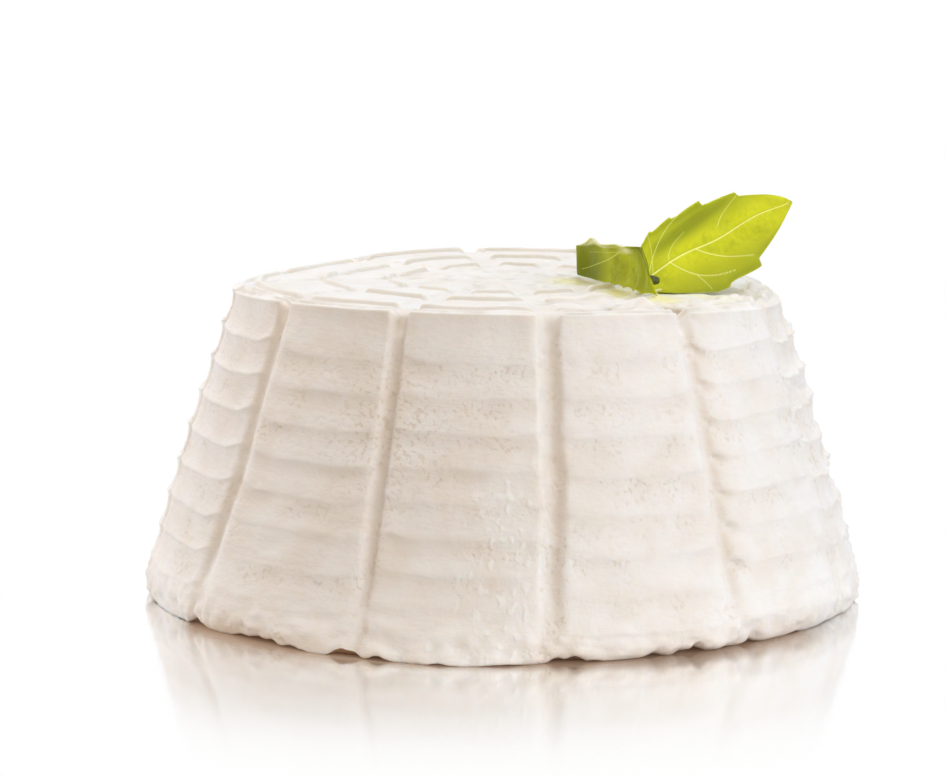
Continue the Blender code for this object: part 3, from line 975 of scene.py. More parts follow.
    def foot_rows(self, lip: Array) -> tuple[list[Array], list[Array]]:
        """Rows from the lowest lip down to the ground and in under the cheese.

        The foot swells below the lip as a quarter sine to its bulge.  Where its reach on the ground is
        smaller it then turns in as a power of the way down, u^2.2; where it is larger it spreads.

        Args:
            lip: heights of the lowest lip.

        Returns:
            Radii and heights, one array of columns for each mesh row.
        """
        radii, heights = [], []
        lift = self.lift()
        places, reaches = np.array(self.foot_reach).T
        reach = np.interp(np.degrees(turn_between(self.azimuth, 0.0)), places, reaches) - 0.30 * lift
        start, rounding = self.envelope(lip), 0.0004
        bulge = np.minimum(start + self.foot_swell, self.foot_limit)
        for t in np.linspace(0.0, 1.0, self.foot_steps + 1)[1:]:
            swell = math.sin(math.pi / 2 * min(t / 0.5, 1.0))
            inwards = (max(t - 0.4, 0.0) / 0.6) ** 2.2
            spread = np.where(reach < bulge, inwards, max(0.0, (t - 0.15) / 0.85) ** 1.3)
            dip = 0.0002 * math.exp(-(((t - 0.14) / 0.10) ** 2))
            edge = rounding * max(0.0, (t - 0.86) / 0.14) ** 2
            radii.append(mix(start, bulge, swell) + (reach - bulge) * spread - dip - edge)
            heights.append(mix(lip, lift, 1.0 - (1.0 - t) ** 1.15))
        for inset, share in self.under_rows:
            radii.append(reach - rounding - inset)
            heights.append(lift * share)
        return radii, heights

    def top_radii(self) -> Array:
        """Radii of the mesh rows of the top, closer together on the ridges.

        Returns:
            The radii, from the middle outwards.
        """
        fine = np.array(self.across_ridge)
        parts, inner = [], 0.0
        for radius, between in zip(self.ridge_radii, self.between_ridges):
            near = radius + (fine if parts else fine[::2])
            parts += [np.linspace(inner, near[0], between + 2)[1:-1], near]
            inner = near[-1]
        return np.concatenate([*parts, np.array(self.shoulder)])

    def creases(self, radius: float) -> tuple[Array, Array]:
        """The two fine creases between the outermost ridge and the first lip.

        Their depth is a raised cosine of the radius, whose start wanders round the rim and whose size
        comes and goes; the side that falls outwards lies in shade.

        Args:
            radius: radius of the row.

        Returns:
            Depth and shade at each column.
        """
        ring, start, outer = self.ring(0.060, 0.3), 0.0568, self.lip_radius
        wander = self.crease_wander.at(ring)
        turn = 2.0 * math.pi * ((radius - start) / self.crease_pitch + wander)
        inner = np.array(radius)
        window = 1.0 - smoothstep(outer - 0.0008, outer, inner)
        window *= smoothstep(start - 0.0004, start + 0.0005, inner)
        broken = self.crease_breaks.at(ring) + self.crease_nicks.at(ring)
        strength = np.clip(0.65 + broken, 0.0, 1.0) * window
        depth = self.crease_depth * strength * (0.5 - 0.5 * np.cos(turn))
        return depth, strength * np.clip(np.sin(turn), 0.0, 1.0)

    def worn(self, points: Array) -> Array:
        """Where the top is broken up: a bell round the middle of each worn patch.

        Args:
            points: the places.

        Returns:
            How broken up each is, 0..1.
        """
        x, y = points[..., 0], points[..., 1]
        patches = [hump(x, at[0], half[0]) * hump(y, at[1], half[1]) for at, half in self.worn_patches]
        return np.clip(sum(patches), 0.0, 1.0)

    def ridges(self, points: Array, radius: Array, aside: Array, worn: Array) -> tuple[Array, Array]:
        """The arcs of ridges on the top.

        A ridge is a bar with a level back and steep flanks, a smoothstep of the distance from its arc,
        with round ends that stop short of the bands.  Its flanks lie in shade.

        Args:
            points: the points, for the noise.
            radius: their radii.
            aside: their distances from the middle of the nearest band.
            worn: how far the top is broken up there.

        Returns:
            Heights and shade.
        """
        wander = radius + self.ridge_wander.at(points)
        uneven = 1.0 + self.ridge_waves.at(points)
        beyond = np.maximum(self.ridge_start + self.ridge_half - aside, 0.0)
        height, shade = np.zeros_like(radius), np.zeros_like(radius)
        for ridge, crest in zip(self.ridge_radii, self.ridge_heights):
            away = np.hypot(wander - ridge, beyond) / self.ridge_half
            height += crest * (1.0 - smoothstep(0.40, 1.0, away)) * uneven * (1.0 - 0.6 * worn)
            flank = hump(away, 0.80, 0.34) * (1.0 - 0.7 * worn) * (0.85 + 0.5 * (uneven - 1.0))
            shade = np.maximum(shade, flank * min(1.0, crest / 0.0006))
        return height, shade

    def torn(self, points: Array, worn: Array) -> tuple[Array, Array, Array]:
        """The torn curd on the worn patches: lumps and flakes drawn out along X.

        Args:
            points: the points, for the noise.
            worn: how far the top is broken up there.

        Returns:
            Heights, shade in the clefts, and more shade in the deepest of them.
        """
        drawn = points * np.array((0.42, 1.0, 1.0))
        lumps = curd_noise(drawn, 0.0034, 60)
        flakes = rough_noise(drawn, 0.0030, 38)
        clefts = np.maximum(1.0 - smoothstep(0.15, 0.48, lumps), smoothstep(-0.05, -0.45, flakes))
        height = worn * (self.torn_lumps * (lumps - 0.45) + self.torn_flakes * flakes)
        return height, worn * clefts, worn * (1.0 - smoothstep(0.10, 0.38, lumps))

    def top_height(self, radius: Array, points: Array) -> tuple[Array, Array]:
        """Height of the top: flat, with ridges between sunken bands, lumpy in the middle, sagging aside.

        Args:
            radius: radius of each point.
            points: the points, for the noise.

        Returns:
            Heights, and how much each point lies in shade: above 1 in the deepest clefts.
        """
        aside = np.abs(radius * np.sin(self.gap))
        jitter = self.band_jitter.at(points)
        inland = smoothstep(self.band_half - 0.0011, self.band_half + 0.0008, aside + jitter)
        worn = self.worn(points)
        printed = smoothstep(0.014, 0.024, radius) * (1.0 - worn)
        dotted = smoothstep(0.0, 0.6, self.dots.at(points))
        crest, flank = self.ridges(points, radius, aside, worn)
        lumps, clefts, deepest = self.torn(points, worn)
        middle = 1.0 - smoothstep(0.016, 0.032, radius)
        height = self.top_z - self.band_drop * (1.0 - inland) * printed + crest + lumps
        height += self.top_waves.at(points) + self.top_ripple.at(points)
        height += middle * self.middle_curds.at(points)
        height += (0.75 * middle + worn) * self.broken_skin.at(points)
        # painted shade, laid in the shadow colour: mottles on the lumpy middle, dots along the bands'
        # edges, the ridges' flanks, the torn clefts and the rim's creases
        rough = smoothstep(0.05, 0.50, self.mottle_shade.at(points)) * (0.50 * middle + 0.10)
        fall, dark = self.creases(float(radius.mean()))
        shade = np.maximum.reduce([2.0 * dotted * inland * (1.0 - inland) * printed, flank, clefts])
        shade = np.maximum.reduce([shade + deepest, rough, dark])
        rim = self.sag(0) - self.back_dip()
        sunk = rim * smoothstep(0.050, self.edge_radius, radius)
        return height - fall - sunk - self.back_dip() * smoothstep(0.0, 0.050, radius), shade

    def top_rows(self) -> tuple[list[Array], list[Array], Array]:
        """The top and the rim, from the middle outwards to just short of the first lip.

        Returns:
            Radii, heights and shade, one array of columns for each mesh row.
        """
        radii, heights, shades = [], [], []
        for radius in self.top_radii():
            radii.append(np.full_like(self.azimuth, radius))
            height, shade = self.top_height(radii[-1], self.ring(radius, self.top_z))
            heights.append(height)
            shades.append(shade)
        edge, lip = self.edge_z - self.sag(0), self.lips()[0]
        for share in self.rim_steps:
            radius = mix(self.edge_radius, self.lip_radius, share)
            fall, dark = self.creases(radius)
            radii.append(np.full_like(self.azimuth, radius))
            heights.append(mix(edge, lip, share) - fall)
            shades.append(dark)
        return radii, heights, np.array(shades)

    def channel(self, radii: Array, heights: Array, lead: int) -> tuple[Array, Array]:
        """The smooth surface that a rib leaves, row for row beside the panels' rows.

        It follows the sunken band, rolls over the rim in an arc, and runs down inside the lips.

        Args:
            radii: radii of the panels' rows.
            heights: heights of the panels' rows.
            lead: how many of the rows lie on the top and the rim.

        Returns:
            Radii and heights of the channel.
        """
        steps, start = len(self.lip_steps), self.roll_start
        strength = self.by_rib(self.rib_strength)
        fade = 0.15 + 0.85 * smoothstep(0.003, 0.018, heights)
        r = self.envelope(heights) - self.channel_depth * fade * strength
        z = heights.copy()
        inner, level = radii[:lead], self.top_z - self.band_drop - self.sag(0)
        turn = np.clip((inner - start) / (inner[-1].mean() - start), 0.0, 1.0) * self.roll_turn
        r[:lead] = np.minimum(inner, start) + self.roll * np.sin(turn)
        z[:lead] = np.where(inner < start, heights[:lead], level) - self.roll * (1.0 - np.cos(turn))
        first, after = slice(lead, lead + steps), lead + steps
        share = np.linspace(0.0, 1.0, steps + 1)[1:, None]
        z[first] = mix(z[lead - 1], heights[after], share)
        straight = self.envelope(z[first]) - self.channel_depth * strength
        r[first] = mix(r[lead - 1], straight, smoothstep(0.0, 0.5, share))
        foot = slice(lead + steps * self.rows + 1, None)
        r[foot] = np.minimum(r[foot], radii[foot] - 0.0002)
        return r, z

    def rib_shares(self, r: Array, z: Array) -> tuple[Array, Array]:
        """Where the channels replace the panels, with a wavering border, and where corners are rounded.

        Args:
            r: radii of the panels' rows.
            z: their heights.

        Returns:
            The channels' share, 0..1, and how far the panels' corners are rounded off.
        """
        strength = self.by_rib(self.rib_strength)
        waver = np.where(self.rib % self.ribs == 0, *self.waver)
        waver = waver * self.border_waves.at(on_ring(r, self.azimuth, z))
        aside = np.abs(self.gap) * np.maximum(r, 0.02) + waver * smoothstep(0.060, 0.063, r)
        corner = 0.0004 * (1.0 - smoothstep(0.0018, 0.0040, aside)) * smoothstep(0.055, 0.062, r)
        within = 1.0 - smoothstep(0.0005, self.channel_half * (0.5 + 0.5 * strength), aside)
        within *= smoothstep(0.045, 0.056, r) * np.minimum(1.0, 0.3 + strength)
        within[-len(self.under_rows):] = 0.0
        return within, corner

    def leaning(self, heights: Array) -> Array:
        """Azimuths of the points of every row: the columns, turned where a rib leans.

        Args:
            heights: heights of the points.

        Returns:
            Azimuths of the same shape.
        """
        turn = np.zeros_like(heights)
        for rib, table in self.leans:
            near = self.around(math.degrees(self.rib_turn) + rib * 360.0 / self.ribs, 9.0)
            turn += np.radians(np.interp(heights, self.lean_heights, table)) * near
        return self.azimuth + turn * (heights > 0.0)

    def surface(self) -> tuple[Surface, dict[str, Array]]:
        """The whole skin of the cheese: panels, channels and relief, standing flat on the ground.

        Returns:
            Vertices, four-cornered faces and three-cornered faces, and a table of vertex attributes.
        """
        top_r, top_z, shades = self.top_rows()
        side_r, side_z = self.side_rows()
        foot_r, foot_z = self.foot_rows(side_z[-1])
        r, z = np.array(top_r + side_r + foot_r), np.array(top_z + side_z + foot_z)
        channel_r, channel_z = self.channel(r, z, len(top_r))
        within, corner = self.rib_shares(r, z)
        r, z = mix(r - corner, channel_r, within), mix(z, channel_z, within)
        points = on_ring(r, self.leaning(z), z)
        normals = grid_normals(points)
        normals[..., 2] *= smoothstep(0.0, 0.0030, z)
        points += normals * self.relief(points, r, z)[..., None]
        points[..., 2] = np.maximum(points[..., 2], 0.0)
        points[-4:, :, 2] = 0.0
        marks = self.marks(points, r, z)
        marks["shaded"], marks["painted_shade_below"] = np.zeros_like(r), np.zeros_like(r)
        marks["shaded"][:len(shades)] = np.clip(shades, 0.0, 1.0)
        marks["shaded"] *= 1.0 - 0.8 * within
        # painted shade: dark brown in the deepest torn clefts and on the rows in under the foot
        marks["painted_shade_below"][:len(shades)] = 0.75 * np.clip(shades - 1.0, 0.0, 1.0)
        marks["painted_shade_below"][-len(self.under_rows):] = 0.8
        return closed_grid(points, points[0].mean(axis=0), np.zeros(3)), marks

    def marks(self, points: Array, r: Array, z: Array) -> dict[str, Array]:
        """Vertex attributes for the finish, each 0..1 on the grid.

        Args:
            points: the finished surface.
            r: radii before relief.
            z: heights before relief.

        Returns:
            How far the skin lies inside the lips, whether it is on the side, where it is pricked with
            holes, crumbly or streaked, and where yellow-green light from the leaves is painted on it.
        """
        side = smoothstep(0.0595, 0.0625, r)
        # how far inside the lips; the finish paints warm shade and more pits by it
        hollow = side * np.clip((self.envelope(z) - r) / 0.0024, 0.0, 1.0)
        x, y = points[..., 0], points[..., 1]
        degrees = np.degrees(np.arctan2(x, -y))
        pricked = hump(degrees, -21.0, 11.0) * hump(z, 0.047, 0.016)
        crumbly = hump(degrees, 1.0, 9.0) * (1.0 - smoothstep(0.030, 0.050, z))
        # painted light: yellow-green patches on the top where the leaves throw light through
        painted_leaf_light = np.zeros_like(x)
        for at, half, strength in self.leaf_light:
            painted_leaf_light = np.maximum(painted_leaf_light, strength * hump(x, at[0], half[0]) * hump(y, at[1], half[1]))
        return {"hollow": hollow, "side": side, "pricked": 0.9 * side * pricked, "crumbly": side * crumbly,
                "streaked": side * hump(degrees, -66.5, 13.0),
                "painted_leaf_light": painted_leaf_light * smoothstep(0.069, 0.0705, points[..., 2])}

    def relief(self, points: Array, r: Array, z: Array) -> Array:
        """How far each point stands out from the pressed form.

        Slow swellings, small dimples and thin level strata on the side, and lumps of curd round the
        foot that fade out upwards.

        Args:
            points: the surface before relief.
            r: radii.
            z: heights.

        Returns:
            Distances along the normal.
        """
        side = smoothstep(0.0585, 0.0625, r)
        foot = (1.0 - smoothstep(0.0020, 0.0110, z)) * smoothstep(0.0725, 0.0775, r)
        low = 1.0 - smoothstep(0.010, 0.045, z)
        out = self.swellings.at(points) + self.dimples.at(points) + self.skin.at(points)
        out += (1.0 + 1.25 * low) * self.strata.at(points * np.array(self.strata_squash))
        out += self.ragged() * self.side_curds.at(points)
        lumps = self.foot_curds.at(points) + self.foot_crumbs.at(points) + self.foot_grain.at(points)
        proud = lumps * (0.25 + 0.75 * smoothstep(0.0, 0.0020, z))
        return side * out + foot * np.where(lumps > 0.0, proud, lumps)

    def build(self) -> bpy.types.Object:
        """Make the piece.

        Returns:
            The cheese.
        """
        surface, marks = self.surface()
        piece = make_piece("ricotta_cheese", surface, self.finish.material(), "ricotta")
        add_marks(piece, marks)
        return piece


# --- The basil ------------------------------------------------------------------------------------
@dataclass
class Blade:
    """A thin closed blade carried by a middle surface: rings run round its two faces and its edge."""

    name: str
    node: str
    finish: LeafFinish
    thickness: float = 0.00034
    along_steps: int = 260
    across_steps: int = 147
    # above 1 draws the columns together at the midrib
    gather: float = 1.0
    vein_height: float = 0.00001

    def middle(self, t: Array, s: Array) -> Array:
        """Middle surface of the blade, t from base to tip, s from one margin (-1) to the other (1)."""
        raise NotImplementedError

    def marks(self, t: Array, s: Array) -> dict[str, Array]:
        """Veins, shading and the turned-over part, each 0..1."""
        raise NotImplementedError

    def build(self) -> bpy.types.Object:
        """Make the piece: the middle surface moved half a thickness each way along its normal.

        The thickness falls to nothing at the margins as the root of 1 - s^8, and the veins stand proud.

        Returns:
            The leaf.
        """
        even = np.linspace(-1.0, 1.0, self.across_steps)
        across = np.sign(even) * np.abs(even) ** self.gather
        t, s = np.broadcast_arrays(np.linspace(0.0, 1.0, self.along_steps)[:, None], across[None, :])
        centre, marks = self.middle(t, s), self.marks(t, s)
        normal = np.cross(np.gradient(centre, axis=0), np.gradient(centre, axis=1))
        normal /= np.maximum(np.linalg.norm(normal, axis=-1, keepdims=True), 1e-12)
        wall = self.thickness / 2 * np.sqrt(np.clip(1.0 - s ** 8, 0.0, 1.0))
        wall = (wall + self.vein_height * marks["vein"] * np.clip(1.0 - np.abs(s), 0.0, 1.0))[..., None]
        rings = self.both_faces(centre + normal * wall, centre - normal * wall)
        surface = closed_grid(rings, rings[0].mean(axis=0), rings[-1].mean(axis=0))
        piece = make_piece(self.name, surface, self.finish.material(), self.node)
        add_marks(piece, {key: self.both_faces(value, value) for key, value in marks.items()})
        return piece

    @staticmethod
    def both_faces(front: Array, back: Array) -> Array:
        """Rings that run over the front and return over the back, without doubling the margins."""
        return np.concatenate([front, back[:, -2:0:-1]], axis=1)


@dataclass(frozen=True)
class Vein:
    """A side vein: a parabola from a start, pulled towards a bend, to an end.

    Its places are (t, w), along and across the leaf, in leaf lengths.
    """

    start: Pair
    bend: Pair
    end: Pair
    strength: float
    half_width: float = 0.0046
    pieces: int = 14

    def distance(self, t: Array, w: Array) -> tuple[Array, Array]:
        """Distance to the vein, and how far along it the nearest point is.

        The parabola is taken as short straight pieces, and the distance to a piece is to the nearest
        point on it.

        Args:
            t: places along the leaf.
            w: places across the leaf.

        Returns:
            Distances, and places along the vein from 0 to 1.
        """
        start, bend, end = (np.array(p) for p in (self.start, self.bend, self.end))
        q = np.linspace(0.0, 1.0, self.pieces + 1)[:, None]
        corners = (1 - q) ** 2 * start + 2 * q * (1 - q) * bend + q ** 2 * end
        nearest, along = np.full(t.shape, 9.0), np.zeros(t.shape)
        for number, (near, far) in enumerate(zip(corners[:-1], corners[1:])):
            step = far - near
            part = np.clip(((t - near[0]) * step[0] + (w - near[1]) * step[1]) / (step @ step), 0.0, 1.0)
            away = np.hypot(t - near[0] - part * step[0], w - near[1] - part * step[1])
            closer = away < nearest
            nearest = np.where(closer, away, nearest)
            along = np.where(closer, (number + part) / self.pieces, along)
        return nearest, along

    def nearness(self, t: Array, w: Array, half_width: float) -> Array:
        """1 on the vein, falling to 0 at a half width that shrinks towards its end."""
        nearest, along = self.distance(t, w)
        return 1.0 - smoothstep(0.30, 1.0, nearest / (half_width * (1.0 - 0.55 * along)))

    def mark(self, t: Array, w: Array) -> Array:
        """The vein's own pale line, 0..1."""
        return self.strength * self.nearness(t, w, self.half_width)


@dataclass
class UprightLeaf(Blade):
    """The large leaf: it stands on its lower margin, leans back and points up to the right."""

    base: Point = (0.0305, -0.0210, 0.0737)
    tip: Point = (0.0635, -0.0010, 0.0893)
    lean: float = math.radians(15.0)
    # each margin: its scale and two powers; each tooth: its place, height and how long it takes to rise
    upper: Triple = (0.0172, 0.31, 0.66)
    lower: Triple = (0.0222, 0.56, 0.86)
    upper_teeth: tuple[Triple, ...] = (
        (0.138, 0.012, 0.05), (0.272, 0.012, 0.09), (0.464, 0.028, 0.14), (0.694, 0.024, 0.18))
    lower_teeth: tuple[Triple, ...] = ((0.42, 0.012, 0.12), (0.640, 0.030, 0.16))
    tooth_fall: float = 0.020
    veins: tuple[Vein, ...] = (
        Vein((0.174, 0.026), (0.270, -0.150), (0.500, -0.165), 0.9),
        Vein((0.290, -0.105), (0.310, -0.140), (0.330, -0.190), 0.6),
        Vein((0.350, 0.022), (0.430, -0.085), (0.640, -0.145), 0.9),
        Vein((0.178, 0.036), (0.185, 0.090), (0.330, 0.130), 0.45),
        Vein((0.530, 0.075), (0.560, 0.120), (0.700, 0.175), 0.55),
        Vein((0.030, 0.010), (0.170, 0.210), (0.440, 0.250), 0.5),
        Vein((0.060, 0.015), (0.110, 0.130), (0.130, 0.235), 0.4))
    # the shade below each vein: how far down it lies, and its half width, in leaf lengths
    vein_shade: Pair = (0.008, 0.0080)
    gather: float = 1.45
    puckers: Waves = Waves(0.00030, 0.0042, 61)
    arch: float = 0.0010
    curl: float = 0.0085
    rest: float = 0.0716

    def axes(self) -> tuple[Array, Array, Array, Array]:
        """The leaf's own axes.

        Returns:
            Base point, whole length as a vector, the upward direction across it, and the way it faces.
        """
        base, tip = Vector(self.base), Vector(self.tip)
        axis = (tip - base).normalized()
        upward = Vector((0.0, 0.0, 1.0))
        upright = (upward - axis * upward.dot(axis)).normalized()
        facing = axis.cross(upright)
        across = upright * math.cos(self.lean) - facing * math.sin(self.lean)
        front = across.cross(axis) * -1.0
        return np.array(base), np.array(tip - base), np.array(across), np.array(front)

    def length(self) -> float:
        """Straight length from base to tip."""
        return float(np.linalg.norm(self.axes()[1]))

    def midrib(self, t: Array) -> Array:
        """How far the midrib bows above the straight line from base to tip, in metres."""
        return self.arch * np.sin(math.pi * t) * (1.0 + 0.6 * np.sin(3.0 * math.pi * t))

    def margin(self, t: Array, shape: Triple, teeth: tuple[Triple, ...]) -> Array:
        """Distance of a margin from the straight line: scale * t^p * (1 - t)^q with saw teeth.

        Args:
            t: places along the leaf.
            shape: scale and the two powers.
            teeth: for each tooth its place, its height in leaf lengths and how long it takes to rise.

        Returns:
            Distances.
        """
        scale, base_power, tip_power = shape
        inner = 0.004 + 0.995 * t
        width = scale * inner ** base_power * (1.0 - inner) ** tip_power
        for place, height, run in teeth:
            rise = np.clip((t - place + run) / run, 0.0, 1.0) ** 1.05
            fall = 1.0 - smoothstep(place, place + self.tooth_fall, t)
            width = width + self.length() * height * rise * fall
        return width

    def widths(self, t: Array, s: Array) -> Array:
        """Signed distance from the straight line, in metres.

        Args:
            t: places along the leaf.
            s: places across it, from the lower margin (-1) over the midrib (0) to the upper (1).

        Returns:
            Distances, positive above the line.
        """
        rib = self.midrib(t)
        high = self.margin(t, self.upper, self.upper_teeth)
        low = self.margin(t, self.lower, self.lower_teeth)
        return rib + np.where(s > 0, (high - rib) * s, (low + rib) * s)

    def middle(self, t: Array, s: Array) -> Array:
        """The leaf's plane, cupped along the midrib, puckered between veins, its lower margin curled.

        Args:
            t: places along the leaf.
            s: places across it.

        Returns:
            Points of the middle surface.
        """
        base, whole, across, front = self.axes()
        w = self.widths(t, s)
        plain = np.where(w > 0, self.margin(t, self.upper, ()), self.margin(t, self.lower, ()))
        out = np.clip(w / plain, -1.15, 1.3)
        flat = np.stack([t * 0.042, w, np.zeros_like(w)], axis=-1)
        away = 0.0012 * np.abs(out) ** 1.5 * np.sin(math.pi * t) ** 0.5
        away = away + 0.0005 * np.sin(9.0 * t + 3.0 * out) * out ** 2
        away = away + self.puckers.at(flat) - 0.00002 * self.marks(t, s)["vein"]
        points = base + t[..., None] * whole + w[..., None] * across + away[..., None] * front
        points[..., 1] -= self.curl * np.clip(-out, 0.0, 1.15) ** 2 * np.sin(math.pi * np.sqrt(t))
        points[..., 2] = np.maximum(points[..., 2], self.rest)
        return points

    def marks(self, t: Array, s: Array) -> dict[str, Array]:
        """Midrib and side veins, the shade beside them, two darker lanes and the shaded upper half.

        Args:
            t: places along the leaf.
            s: places across it.

        Returns:
            The marks, each 0..1.
        """
        w, rib = self.widths(t, s) / self.length(), self.midrib(t) / self.length()
        from_rib = (w - rib) / (0.0068 - 0.0026 * t)
        vein = 1.0 - smoothstep(0.30, 1.0, np.abs(from_rib))
        beside = 0.50 * hump(from_rib, 1.6, 0.7) * (1.0 - 0.4 * t)
        drop, half = self.vein_shade
        for line in self.veins:
            vein = np.maximum(vein, line.mark(t, w))
            beside = np.maximum(beside, 0.30 * line.strength * line.nearness(t, w + drop, half))
        broad = 0.90 * hump(w - 0.10 - 0.14 * t, 0.0, 0.055)
        broad *= smoothstep(0.0, 0.15, t) * (1.0 - smoothstep(0.58, 0.80, t))
        narrow = 0.35 * hump(w - 0.02 - 0.36 * t, 0.0, 0.05)
        narrow *= smoothstep(0.02, 0.1, t) * (1.0 - smoothstep(0.50, 0.75, t))
        edge = 0.36 * smoothstep(0.80, 1.0, np.abs(s)) + 0.64 * smoothstep(0.02, 0.20, np.abs(w - rib))
        upper = 0.20 * smoothstep(0.03, 0.10, w - rib) * smoothstep(0.10, 0.35, t)
        shade = np.maximum.reduce([broad, narrow, beside * (1.0 - vein), edge]) + upper
        return {"vein": vein, "shade": np.minimum(shade, 1.0), "pale_cream": np.zeros_like(vein)}


@dataclass
class FoldedLeaf(Blade):
    """The small leaf: folded along its midrib, one half hanging to the cheese, the other turned over."""

    # the foot's way over the cheese, and the curtain's height at the stem and at the far tip
    track: tuple[Pair, Pair, Pair] = ((0.0302, -0.0335), (0.0250, -0.0170), (0.0161, 0.0040))
    height: Pair = (0.0101, 0.0064)
    fold: float = 0.72
    rest: float = 0.0716
    bulge: float = 0.0048
    overhang: float = 0.0024
    puckers: Waves = Waves(0.00018, 0.0036, 62)
    # the tail at the stem's end, which hangs forwards, and the cheek above it
    tail: float = 0.0034
    tail_way: Pair = (0.75, -0.66)
    cheek: float = 0.0011
    veins: tuple[Vein, ...] = (
        Vein((0.44, 0.285), (0.66, 0.210), (0.95, 0.070), 0.7, 0.0090),
        Vein((0.40, 0.280), (0.60, 0.295), (0.88, 0.250), 0.4, 0.0080),
        Vein((0.16, 0.270), (0.26, 0.160), (0.36, 0.050), 0.25, 0.0090))
    # the curtain's height in leaf lengths, as the veins count it
    vein_rise: float = 0.3

    def parts(self, s: Array) -> tuple[Array, Array]:
        """Share of the way up the curtain, and of the way over the turned-over part."""
        part, over = (s + 1.0) / 2.0, 1.0 - self.fold
        return np.clip(part / self.fold, 0.0, 1.0), np.clip((part - self.fold) / over, 0.0, 1.0)

    def turned_height(self, t: Array) -> Array:
        """How far the turned-over margin stands above the fold: a peak near the tip and a low hump."""
        low = smoothstep(0.22, 0.45, t) * (1.0 - smoothstep(0.74, 0.84, t))
        return (0.0013 * hump(t, 0.775, 0.085) + 0.0009 * low + 0.0003) * (1.0 - smoothstep(0.90, 1.0, t))

    def middle(self, t: Array, s: Array) -> Array:
        """A curtain whose ragged foot follows the track, bulging forwards, with a rolled upper edge.

        The track is a parabola.  Across the blade, s runs from the foot (-1) over the fold to the
        turned-over margin (1).

        Args:
            t: 0 at the stem, 1 at the far tip.
            s: across the blade.

        Returns:
            Points of the middle surface.
        """
        near, bend, far = (np.array(p) for p in self.track)
        below, above = self.parts(s)
        raked = (t + 0.055 * below * (1.0 - smoothstep(0.0, 0.45, t)) * (1.0 - t))[..., None]
        plan = (1 - raked) ** 2 * near + 2 * raked * (1 - raked) * bend + raked ** 2 * far
        heading = far - near
        back = np.array((-heading[1], heading[0])) / np.hypot(*heading)
        tall = mix(self.height[0], self.height[1], t) + 0.0003 * np.sin(8.0 * t)
        inner = smoothstep(0.0, 0.12, t) * (1.0 - smoothstep(0.86, 1.0, t))
        bulge = self.bulge * below * (1 - below) * (1.0 + 0.3 * np.sin(7.0 * t)) * inner
        flat = np.stack([t * 0.03, below * 0.01, np.zeros_like(t)], axis=-1)
        reach = (self.overhang * above * (1.0 - 0.6 * t) + self.puckers.at(flat)) * inner
        reach += 0.0003 * below - bulge
        rise = self.turned_height(t) * np.sin(math.pi / 2 * above ** 0.8)
        teeth = 0.0005 * np.abs(np.sin(17.0 * t)) * (1.0 - smoothstep(0.3, 0.6, t)) * (1.0 - below) ** 2
        notches = np.abs(np.sin(23.0 * t + 0.6)) * (1.0 - smoothstep(0.45, 0.8, t)) * (1.0 - below) ** 4
        cheek = self.cheek * np.sin(math.pi * below) * np.clip(1.0 - t / 0.16, 0.0, 1.0)
        tail = self.tail * np.clip(1.0 - t / 0.13, 0.0, 1.0) ** 1.6
        tail *= np.clip(1.0 - below / 0.28, 0.0, 1.0) ** 1.5
        points = np.empty((*t.shape, 3))
        points[..., :2] = plan + (reach - teeth)[..., None] * back
        points[..., :2] += tail[..., None] * np.array(self.tail_way)
        points[..., 0] += cheek
        points[..., 2] = self.rest + tall * below + rise + 0.0006 * notches
        return points

    def marks(self, t: Array, s: Array) -> dict[str, Array]:
        """Veins on the curtain, shade towards the far end, and the cream roll along the top.

        Args:
            t: 0 at the stem, 1 at the far tip.
            s: across the blade.

        Returns:
            The marks, each 0..1.
        """
        below, above = self.parts(s)
        vein = np.maximum.reduce([line.mark(t, below * self.vein_rise) for line in self.veins])
        far_end = smoothstep(0.50, 0.84, t) * (0.70 + 0.30 * (1.0 - below))
        stem_end = 0.45 * (1.0 - smoothstep(0.16, 0.34, t))
        corner = 0.85 * (1.0 - smoothstep(0.05, 0.12, t)) * smoothstep(0.35, 0.7, below)
        shade = np.maximum.reduce([far_end, stem_end, corner, 0.35 * hump(below, 0.0, 0.12)])
        # pale cream along the roll and on the curtain just below the fold
        roll = smoothstep(0.10, 0.35, above) * (0.55 + 0.25 * np.sin(11.0 * t)) * smoothstep(0.14, 0.22, t)
        pale = 0.75 * hump(t, 0.33, 0.08) * smoothstep(0.84, 0.95, below)
        return {"vein": vein * (above <= 0), "shade": shade,
                "pale_cream": np.clip(np.maximum(roll, pale), 0.0, 1.0)}


